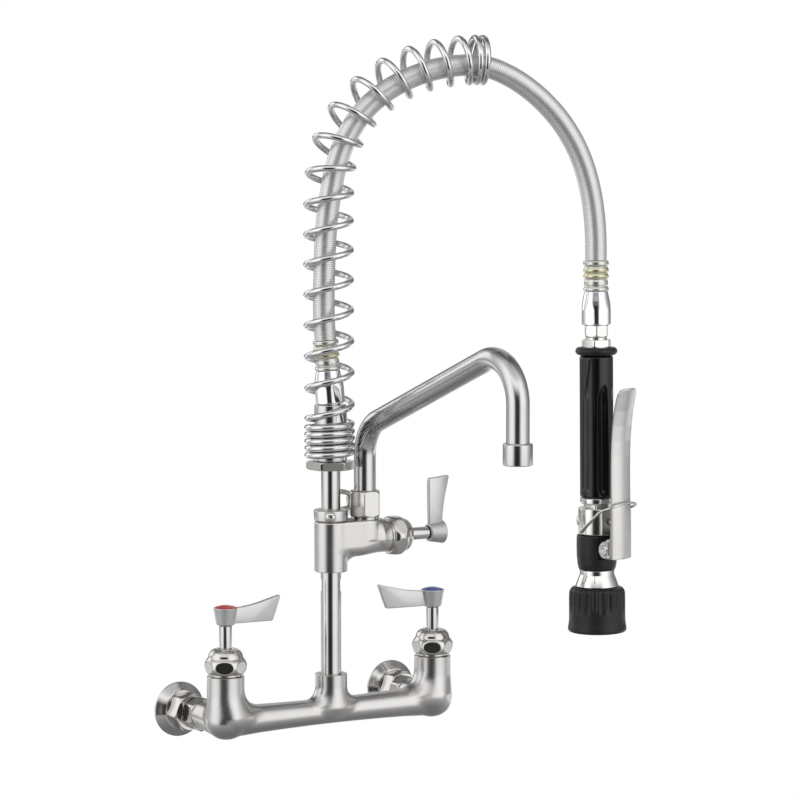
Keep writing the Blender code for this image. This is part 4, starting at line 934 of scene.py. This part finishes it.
def hook():
    low, high = 162.8, 172.8
    strap_heading, lug_heading = 36.0, -121.0
    ring = filled([(13.4, low), (14.4, low + 0.9), (14.4, high - 0.9), (13.4, high)], 8.45)
    strap = plate([(11.0, low + 1.2), (40.2, low + 1.2), (41.0, low + 2.2), (41.0, high - 1.8),
                   (40.2, high - 0.8), (11.0, high - 0.8)], -2.0, 2.0, 0.5)
    lug = filled([(4.6, 10.0), (4.6, 14.2), (4.2, 14.7)])
    lug_axis = aimed(pointing(lug_heading), (0, 0, (low + high) / 2))
    clamp = joined((turned(ring, segments=96), None),
                   (strap, Matrix.Rotation(math.radians(strap_heading), 4, "Z")),
                   (turned(lug, segments=40), lug_axis))
    piece("hook_clamp", clamp, RISER, "cast")
    head = [(0, 13.0), (1.9, 13.0), (1.9, 14.8), (3.9, 14.8), (3.9, 16.0), (3.3, 17.0),
            (2.2, 17.5), (1.7, 17.5), (1.5, 16.2), (0, 16.0)]
    lathed("hook_clamp_screw", head, RISER @ lug_axis, "bright", 48, 0.25)
    end = pointing(strap_heading) * 38.0
    route = [end + Vector((0, 0, 172.0)), end + Vector((0, 0, 177.0)),
             Vector((29.0, 20.0, 182.5)), Vector((17.0, 17.5, 185.5)), Vector((2.0, 16.0, 189.0))]
    piece("spray_hook", swept(smooth_route(route, 1.2), 2.2), RISER, "bright")


def spout():
    bottom, rise, slope = 159.0, 216.3, math.radians(20.3)
    first, second = 34.0, 35.0         # the two bends' radii
    upright = 110.3                    # the slope's own square, degrees
    bend_up = arc((first, rise), first, 180, upright, 22)
    run = SPOUT_REACH - second * (1 + math.sin(slope)) - bend_up[-1][0]
    shoulder = Vector(bend_up[-1]) + Vector((run, run * math.tan(slope)))
    centre = shoulder + Vector((math.sin(slope), -math.cos(slope))) * second
    turns = [Vector(p) for p in [(0.0, bottom)] + bend_up + arc(centre, second, upright, 0, 30)
             + [(SPOUT_REACH, 237.2)]]
    path = []
    for start, end in zip(turns, turns[1:]):
        count = max(1, round((end - start).length / 3.0))
        path += [start.lerp(end, number / count) for number in range(count)]
    path.append(turns[-1])
    tube = swept([Vector((p.x, 0, p.y)) for p in path], 9.3, 56, inner=7.6)
    piece("spout_tube", tube, SPOUT, "tube")
    corner = 14.4
    seat = filled([(11.8, 162.4), (11.8, 164.8), (corner - 2.0, 164.8), (corner, 166.8),
                   (corner, 184.0), (corner - 1.0, 186.0), (corner - 2.8, 187.2)], 9.6)
    nut("spout_nut", seat, corner * math.sqrt(3), -121.0, NUT_BASE, "nut", 132, 0.35)
    collar = filled([(11.4, 229.2), (11.9, 229.7), (11.9, 245.9), (11.2, 246.7), (10.2, 247.0),
                     (9.6, 247.0), (9.6, 236.7)], 10.4)
    lathed("spout_outlet", collar, OUTLET, "turned", 80)


# ---- overhead spring and hose

COIL_ROUTE = [(-0.9, 180), (-0.9, 262), (-1.4, 340), (-1.5, 420), (-0.6, 448), (2.9, 472.0),
              (12.0, 494.0), (26.8, 513.6), (45.4, 529.0), (65.0, 539.4), (84.9, 545.8),
              (104, 549.4), (118, 550.7), (132, 550.9), (146, 550.0)]
HOSE_ROUTE = [(-4.3, HOSE_START), (-5.4, 332), (-5.6, 350), (-5.2, 372), (-4.4, 394),
              (-2.9, 416), (0.3, 439), (4.8, 461), (12.8, 483.4), (26.4, 505.2),
              (43.6, 521.6), (63.6, 533.6), (84.7, 541.6), (104, 545.6), (120, 546.7),
              (136, 544.9), (151, 539.2), (166, 530.6), (182.5, 517.6), (198, 501.0),
              (209.6, 483.6), (217.7, 466.6), (223.3, 449.6), (227.1, 432.6), (229.4, 415.5),
              (230.5, 398.5), (SPRAY_REACH, HOSE_END)]
CLOSE_PITCH = 5.9
LOW_TURNS, OPEN_TURNS, HIGH_TURNS = 5.0, 16.2, 2.0
OPEN_PITCHES = [(0, 27.6), (4, 25.7), (7, 24.6), (9.4, 25.0), (11.2, 24.8), (12.6, 22.1),
                (16.2, 17.6)]
COIL_RADIUS, COIL_LEAN = 18.8, 8
COIL_START = 64.0              # the wire's first heading round the coil, in degrees
WIRE_RADIUS, HOSE_RADIUS = 2.65, 9.15
COIL_FOOT = 213.8              # top of the collar that the spring stands on


def coil_pitch(turn):
    """Rise per turn: close coils at both ends and open ones between."""
    opened = turn - LOW_TURNS
    blend = max(0.0, min(1.0, opened / 0.6, (OPEN_TURNS - opened) / 0.6))
    for (turn_before, before), (turn_after, after) in zip(OPEN_PITCHES, OPEN_PITCHES[1:]):
        if turn_before <= opened <= turn_after:
            wide = before + (after - before) * (opened - turn_before) / (turn_after - turn_before)
            return CLOSE_PITCH + (wide - CLOSE_PITCH) * blend
    return CLOSE_PITCH


def upright_route(points, spacing):
    """A smooth route in the overhead's own upright plane."""
    return smooth_route([Vector((reach, 0, height)) for reach, height in points], spacing)


def coil_points(per_turn):
    """The wire's path: its coils lean to where the route goes, COIL_LEAN further on."""
    route = upright_route(COIL_ROUTE, 1.0)
    along = COIL_FOOT + GAP + WIRE_RADIUS + 0.2 - COIL_ROUTE[0][1]
    count = round((LOW_TURNS + OPEN_TURNS + HIGH_TURNS) * per_turn)
    points = []
    for number in range(count + 1):
        turn = number / per_turn
        place = min(int(along), len(route) - 2)
        centre = route[place].lerp(route[place + 1], along - place)
        ahead = min(along + COIL_LEAN, len(route) - 2.001)
        spot = int(ahead)
        one, two = ((route[step + 1] - route[step]).normalized()
                    for step in (spot, min(spot + 1, len(route) - 2)))
        tangent = one.lerp(two, ahead - spot).normalized()
        inward = Vector((tangent.z, 0, -tangent.x))
        angle = math.radians(COIL_START) + math.tau * turn
        across = Vector((0, 1, 0)) * math.sin(angle)
        points.append(centre + (inward * math.cos(angle) + across) * COIL_RADIUS)
        along += coil_pitch(turn + 0.5 / per_turn) / per_turn
    return points


def ferrule(name, low, high, place):
    """A crimped ferrule; its bumps are (share of its length, radius)."""
    bumps = [(0.0, 10.6), (0.03, 11.0), (0.10, 10.8), (0.14, 9.7), (0.20, 10.2), (0.32, 10.2),
             (0.38, 9.5), (0.43, 10.6), (0.48, 11.0), (0.54, 10.6), (0.58, 9.7), (0.61, 10.5),
             (0.68, 11.0), (0.75, 10.6), (0.80, 9.5), (0.86, 10.9), (0.97, 10.9), (1.0, 10.3)]
    outline = filled([(radius, low + share * (high - low)) for share, radius in bumps], 5.0)
    return lathed(name, outline, place, "ferrule", bevel=0.8)


def fitting_outline(wide, narrow):
    span = narrow - wide
    return filled([(12.3, wide), (12.9, wide + 0.03 * span), (12.9, wide + 0.45 * span),
                   (12.4, wide + 0.58 * span), (11.7, wide + 0.72 * span),
                   (10.8, wide + 0.87 * span), (10.1, narrow - 0.2), (9.7, narrow)], 5.0)


FACING_CORNER = 18.4           # turn that brings a hexagon's corner to the front


def overhead():
    piece("spring", swept(coil_points(30), WIRE_RADIUS, 18), OVERHEAD, "wire")
    fitting = [(5.0, -4.0), (8.4, -4.0), (8.4, 1.2)] + fitting_outline(1.2, 29.0)[1:]
    nut("lower_hose_fitting", fitting, 24.6, FACING_CORNER, HOSE_ROOT, "chrome", step=0.6)
    top = (HOSE_START - SLEEVE_TOP) / math.cos(math.radians(4.5)) - 0.4
    ferrule("lower_ferrule", 29.3, top, HOSE_ROOT)
    swivel = filled([(9.6, 315.8), (10.6, 316.8), (10.9, 317.4), (10.9, 324.6), (10.4, 325.7)],
                    5.0)
    upper = [ferrule("upper_ferrule", 355.2, HOSE_END - 0.4, HANGING),
             nut("upper_hose_fitting", fitting_outline(326.0, 354.9), 24.6, FACING_CORNER,
                 HANGING, "chrome", step=0.6),
             nut("swivel_nut", swivel, 19.2, FACING_CORNER, HANGING, "bright", step=0.5)]
    route = upright_route(HOSE_ROUTE, 2.0)
    hose = piece("hose", swept(route, HOSE_RADIUS, 48, weave=True, ends=False), OVERHEAD,
                 "braid")
    path = [OVERHEAD @ (point * MM) for point in route]
    length = sum((b - a).length for a, b in zip(path, path[1:]))
    return hose, path, length, upper


# ---- trigger spray

def handle_grip():
    lathed("handle_tube", filled([(9.0, 172.4), (9.0, 306.8)], 6.5), SPRAY, "bright", 64)
    bushing = filled([(12.2, 306.0), (12.2, 307.2), (13.0, 307.4), (13.5, 308.2), (13.5, 312.4),
                      (12.8, 313.3), (9.2, 313.3), (9.2, 315.5)], 3.5)
    ring = ([(9.3, 300.2)] + [(14.7 + 3.3 * math.cos(turn), 303.55 + 3.35 * math.sin(turn))
                              for turn in np.radians(np.linspace(-88, 88, 17))]
            + [(9.3, 306.9)])
    radius, cutter, deepest = 14.4, 6.0, 1.7
    groove_from, groove_to = 181.5, 272.5

    def eased(share):
        share = min(1.0, max(0.0, share))
        return share * (2 - share)

    def scalloped(reach, height, angle):
        """Six finger grooves that run out above and below."""
        if reach[0] < radius - 1.5:
            return reach
        depth = (deepest * eased((groove_to - height) / 15.0)
                 * eased((height - groove_from) / 5.0))
        if depth < 1e-3:
            return reach
        spacing = math.radians(60)
        off = (angle - math.radians(30)) % spacing
        off = np.minimum(off, spacing - off)
        centre = radius + cutter - depth
        inside = cutter ** 2 - (centre * np.sin(off)) ** 2
        groove = centre * np.cos(off) - np.sqrt(np.maximum(inside, 0.0))
        return soft_min(reach, np.where(inside > 0, groove, 99.0), 0.25)

    made = [nut("handle_bushing", bushing, 23.4, 5.0, SPRAY, "bright", bevel=0.25),
            lathed("rubber_ring", ring, SPRAY, "rubber", 84, 0.2)]
    grip = filled([(13.4, 177.6), (14.4, 178.6), (14.4, 298.4), (13.2, 299.9)], 9.3)
    piece("grip", turned(grip, scalloped, 240, 0.6, 1.4), SPRAY, "grip", sharp=70)
    end = filled([(13.7, 172.3), (14.4, 173.0), (14.4, 176.9), (14.0, 177.3)], 9.3)
    lathed("grip_end_ring", end, SPRAY, "bright", 80)
    return made


def valve_body():
    barrel = filled([(9.0, 104.4), (9.0, 115.2), (13.8, 115.2), (13.8, 145.8), (15.4, 145.8),
                     (15.9, 146.5), (15.9, 168.2), (15.3, 168.9), (9.6, 168.9), (9.6, 172.1)],
                    3.5)
    neck = filled([(11.6, 168.4), (12.3, 169.2), (12.3, 171.4), (11.6, 172.1)])
    lug = plate([(10.0, 128.5), (25.4, 128.5), (25.4, 141.0), (10.0, 141.0)], -9.0, 9.0, 0.8)
    head = [(0, 13.5), (4.9, 13.5), (4.9, 15.6), (4.4, 16.4), (3.4, 17.2), (2.2, 17.6),
            (1.5, 17.6), (1.4, 16.6), (0, 16.5)]
    middle = (0, 0, 157.0)
    parts = [(turned(barrel, segments=96), None),
             (turned(neck, flats(21.6, 5.0), 120, 0.3, 0.45), None), (lug, None)]
    parts += [(turned(head, segments=48, bevel=0.3), aimed(pointing(heading), middle))
              for heading in (-147.0, 112.0, 36.0)]
    piece("spray_valve_body", joined(*parts), SPRAY, "bright")
    half = [(0, 14.3), (1.7, 14.3), (1.9, 13.5), (2.2, 13.5), (2.5, 14.4), (3.5, 14.4),
            (4.4, 13.6), (4.4, 13.0), (2.0, 12.9)]
    pin = [(radius, -height) for radius, height in half] + half[::-1]
    lathed("lever_pivot_screw", pin, aimed((0, 1, 0), (PIVOT_REACH, 0, PIVOT_HEIGHT), SPRAY),
           "bright", 48, 0.15)
    plunger = [(0, 11.0), (2.5, 11.0), (2.5, 26.8), (1.6, 27.8), (0, 28.0)]
    lathed("valve_plunger", plunger, aimed((1, 0, 0), middle, SPRAY), "bright", 40)


def rubber_parts():
    def notched(reach, height, angle):
        """The sleeve is cut away round the pivot lug and the lever's ears."""
        off = np.abs((angle + math.pi) % math.tau - math.pi)
        across, ahead = reach * np.sin(off), reach * np.cos(off)
        lug = (across < 9.3) & (ahead > 6.0) & (128.2 < height < 141.3)
        ears = (across < 13.1) & (ahead > 12.2) & (height > 125.7)
        return np.where(lug | ears, np.minimum(reach, 14.15), reach)

    sleeve = [(14.1, 115.2), (15.3, 115.2), (15.9, 116.0), (16.8, 120.0), (17.4, 127.0),
              (17.6, 135.0), (17.4, 143.8), (16.8, 145.3), (14.1, 145.5)]
    piece("rubber_sleeve", turned(sleeve, notched, 180, 0.5, 0.6), SPRAY, "rubber")
    flutes, depth = 24, 1.15
    flute_from, flute_to = 76.5, 99.4

    def fluted(reach, height, angle):
        """Shallow scoops round the bumper's upper part."""
        if reach[0] < 22.4 or height < 70:
            return reach
        fade = (min(1.0, max(0.0, (height - flute_from) / 9.0))
                * min(1.0, max(0.0, (flute_to - height) / 4.0)))
        spacing = math.tau / flutes
        off = (angle % spacing) / spacing - 0.5
        scoop = np.maximum(0.0, 1 - (off / 0.36) ** 2) ** 0.6
        return reach - depth * fade * scoop

    bumper = filled([(23.2, 61.1), (24.9, 62.0), (25.3, 63.4), (25.0, 66.0), (24.5, 69.0),
                     (24.3, 72.5), (24.25, 76.0), (24.2, 90.0), (24.1, 94.5), (23.6, 97.2),
                     (22.2, 99.1), (19.6, 100.2), (12.0, 100.2), (12.0, 76.3)], 20.4)
    piece("spray_bumper", turned(bumper, fluted, 288, 0.8, 0.9), SPRAY, "rubber", sharp=70)
    cone = filled([(18.2, 100.5), (18.7, 101.0), (15.3, 110.2), (14.9, 111.0), (14.9, 114.9)],
                  9.3)
    lathed("nozzle_cone", cone, SPRAY, "bright", 88)


def hold_bail():
    side = 17.4                        # the wire's own half width where it clears the lever
    leg = [(0, side - 3.0, 0), (0.1, side - 1.0, 0.1), (0.8, side - 0.1, 0.7), (4, side, 3.6),
           (15, side, 12.7), (24, side, 19.3), (31, side - 0.2, 22.4), (34.8, side - 1.9, 23.9),
           (37.0, side - 5.2, 25.3), (37.9, side - 10.0, 26.4), (38.1, 3.4, 26.8)]
    other = [(reach, -across, height) for reach, across, height in leg[::-1]]
    route = smooth_route([Vector(point) for point in leg + other], 1.0)
    piece("hold_bail", swept(route, 1.1, 16), at(x=BAIL_REACH, z=BAIL_HEIGHT, parent=SPRAY),
          "bright")


# ---- CAD nodes that stay in view

def plain_nodes():
    """Small hidden nodes keep their own shape and take a finish."""
    brass = ("supply_nipple_hot", "supply_nipple_cold", "cartridge_hot", "cartridge_cold",
             "cartridge_filler")
    for name, finish in [(name, "brass") for name in brass] + [("spray_face", "bright"),
                                                               ("flow_straightener", "turned")]:
        mesh = frame["nodes"][name].data
        mesh.materials.clear()
        mesh.materials.append(FINISH[finish])


# ---- studio

def ramp(tree, share, stops):
    """Grey levels along a share, eased from one (place, level) stop to the next."""
    made = node(tree, "ValToRGB", {0: share})
    elements = made.color_ramp.elements
    made.color_ramp.interpolation = "EASE"
    while len(elements) < len(stops):
        elements.new(0.5)
    for element, (place, level) in zip(elements, stops):
        element.position = place
        element.color = (level, level, level, 1.0)
    return made.outputs[0]


def plain_to_camera(tree, lit, plain, output):
    """Ends a tree with one shader as the camera sees it and another for all other rays."""
    seen = node(tree, "LightPath").outputs["Is Camera Ray"]
    mixed = node(tree, "MixShader", {0: seen, 1: lit.outputs[0], 2: plain.outputs[0]})
    tree.links.new(mixed.outputs[0], node(tree, output).inputs[0])


WHITE = (1, 1, 1, 1)
# Light round the object, as (share of a half turn from the dark opening, level)
ROUND_LEVELS = [(0.0, 0.02), (0.09, 0.03), (0.14, 0.34), (0.185, 0.84), (0.28, 1.0),
                (0.40, 0.95), (0.48, 0.70), (0.56, 0.42), (0.67, 0.24), (0.80, 0.15),
                (0.88, 0.15), (0.95, 0.40), (1.0, 0.42)]
# Light from below to above, as (share of the way up, level)
HEIGHT_LEVELS = [(0.0, 0.28), (0.24, 0.36), (0.44, 0.95), (0.52, 1.0), (0.80, 1.0),
                 (0.92, 0.60), (1.0, 0.45)]
PANEL_LEVEL, LIGHT_STRENGTH = 0.95, 1.45
FLOOR_RADIUS, FLOOR_HEIGHT = 1.2, -0.45
# Painted shade on the floor, darker by the object and paler at its rim, as (distance, shade)
FLOOR_NEAR, FLOOR_RIM = (0.25, 0.34), (1.15, 0.85)


def light_tree():
    """A room with a dark opening before the object, bright sides and a few bright panels."""
    world = bpy.data.worlds.new("studio")
    bpy.context.scene.world = world
    world.use_nodes = True
    tree = world.node_tree
    tree.nodes.clear()
    coords = node(tree, "TexCoord").outputs["Generated"]
    turn = math.radians(90 + CAMERA_HEADING + DARK_TO_LEFT)
    way = node(tree, "Mapping", {"Vector": coords, "Rotation": (0, 0, turn)}).outputs[0]
    ahead, aside, up = node(tree, "SeparateXYZ", {0: way}).outputs
    off = maths(tree, "ABSOLUTE", maths(tree, "ARCTAN2", aside, ahead))
    round_light = ramp(tree, maths(tree, "DIVIDE", off, math.pi), ROUND_LEVELS)
    height_light = ramp(tree, ranged(tree, up, -1.0, 1.0), HEIGHT_LEVELS)
    canopy = maths(tree, "MULTIPLY", ranged(tree, up, 0.24, 0.55, 0.0, PANEL_LEVEL),
                   ranged(tree, ahead, -0.05, 0.30))
    toward = node(tree, "VectorMath", {0: way, 1: SIDE_PANEL},
                  operation="DOT_PRODUCT").outputs["Value"]
    side = ranged(tree, toward, 0.905, 0.966, 0.0, PANEL_LEVEL)
    sweep = maths(tree, "MULTIPLY", ranged(tree, up, -0.08, -0.20, 0.0, PANEL_LEVEL),
                  ranged(tree, ahead, -0.12, -0.38))
    panels = maths(tree, "MAXIMUM", maths(tree, "MAXIMUM", canopy, side), sweep)
    light = mixed_colour(tree, 1.0, round_light, panels, blend_type="LIGHTEN")
    light = mixed_colour(tree, 1.0, light, height_light, blend_type="MULTIPLY")
    plain_to_camera(tree, node(tree, "Background", {"Strength": LIGHT_STRENGTH,
                                                              "Color": light}),
                    node(tree, "Background", {"Color": WHITE, "Strength": 1.0}),
                    "OutputWorld")


def studio():
    settings = bpy.context.scene.view_settings
    settings.view_transform, settings.look = "Standard", "None"
    light_tree()
    builder = bmesh.new()
    bmesh.ops.create_circle(builder, cap_ends=True, segments=64, radius=FLOOR_RADIUS)
    floor = shown("floor", stored("floor", builder))
    floor.location = (0, 0, FLOOR_HEIGHT)
    material = bpy.data.materials.new("floor_with_painted_shade")
    material.use_nodes = True
    tree = material.node_tree
    tree.nodes.clear()
    spot = node(tree, "TexCoord").outputs["Object"]
    away = node(tree, "VectorMath", {0: spot}, operation="LENGTH").outputs["Value"]
    # Painted shade: for all but camera rays the floor darkens towards the object and pales towards its rim
    shade = ranged(tree, away, FLOOR_NEAR[0], FLOOR_RIM[0], FLOOR_NEAR[1], FLOOR_RIM[1])
    plain_to_camera(tree, node(tree, "BsdfDiffuse", {"Color": shade}),
                    node(tree, "Emission", {"Color": WHITE, "Strength": 1.0}),
                    "OutputMaterial")
    floor.data.materials.append(material)
    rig.stage(floor)


camera()
hose, hose_path, hose_length, hose_end = overhead()
mixer_body()
inlets()
valve("hot", at(x=-VALVE_SPACING, z=COLUMN_TOP, parent=RISER), 0.0, "red")
valve("cold", at(x=VALVE_SPACING, z=COLUMN_TOP, parent=RISER), 172.0, "blue")
valve("filler", at(x=ARM_END, z=FILLER_HEIGHT, tip=90.0, parent=RISER), 180.0, None, 2.6)
filler_body()
risers()
hook()
spout()
hose_end += handle_grip()
valve_body()
rubber_parts()
squeeze_lever()
hold_bail()
plain_nodes()
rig.cord(hose, exit=hose_path[0], length=hose_length, diameter=0.0183, far_end="tool",
        stiffness="stiff", lay="hanging", path=hose_path, with_pieces=hose_end)
studio()

seen_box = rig.bounds()
with open("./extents.json", "w") as file:
    json.dump({"cad": [list(corner) for corner in cad_box],
               "visual": [list(corner) for corner in seen_box]}, file)
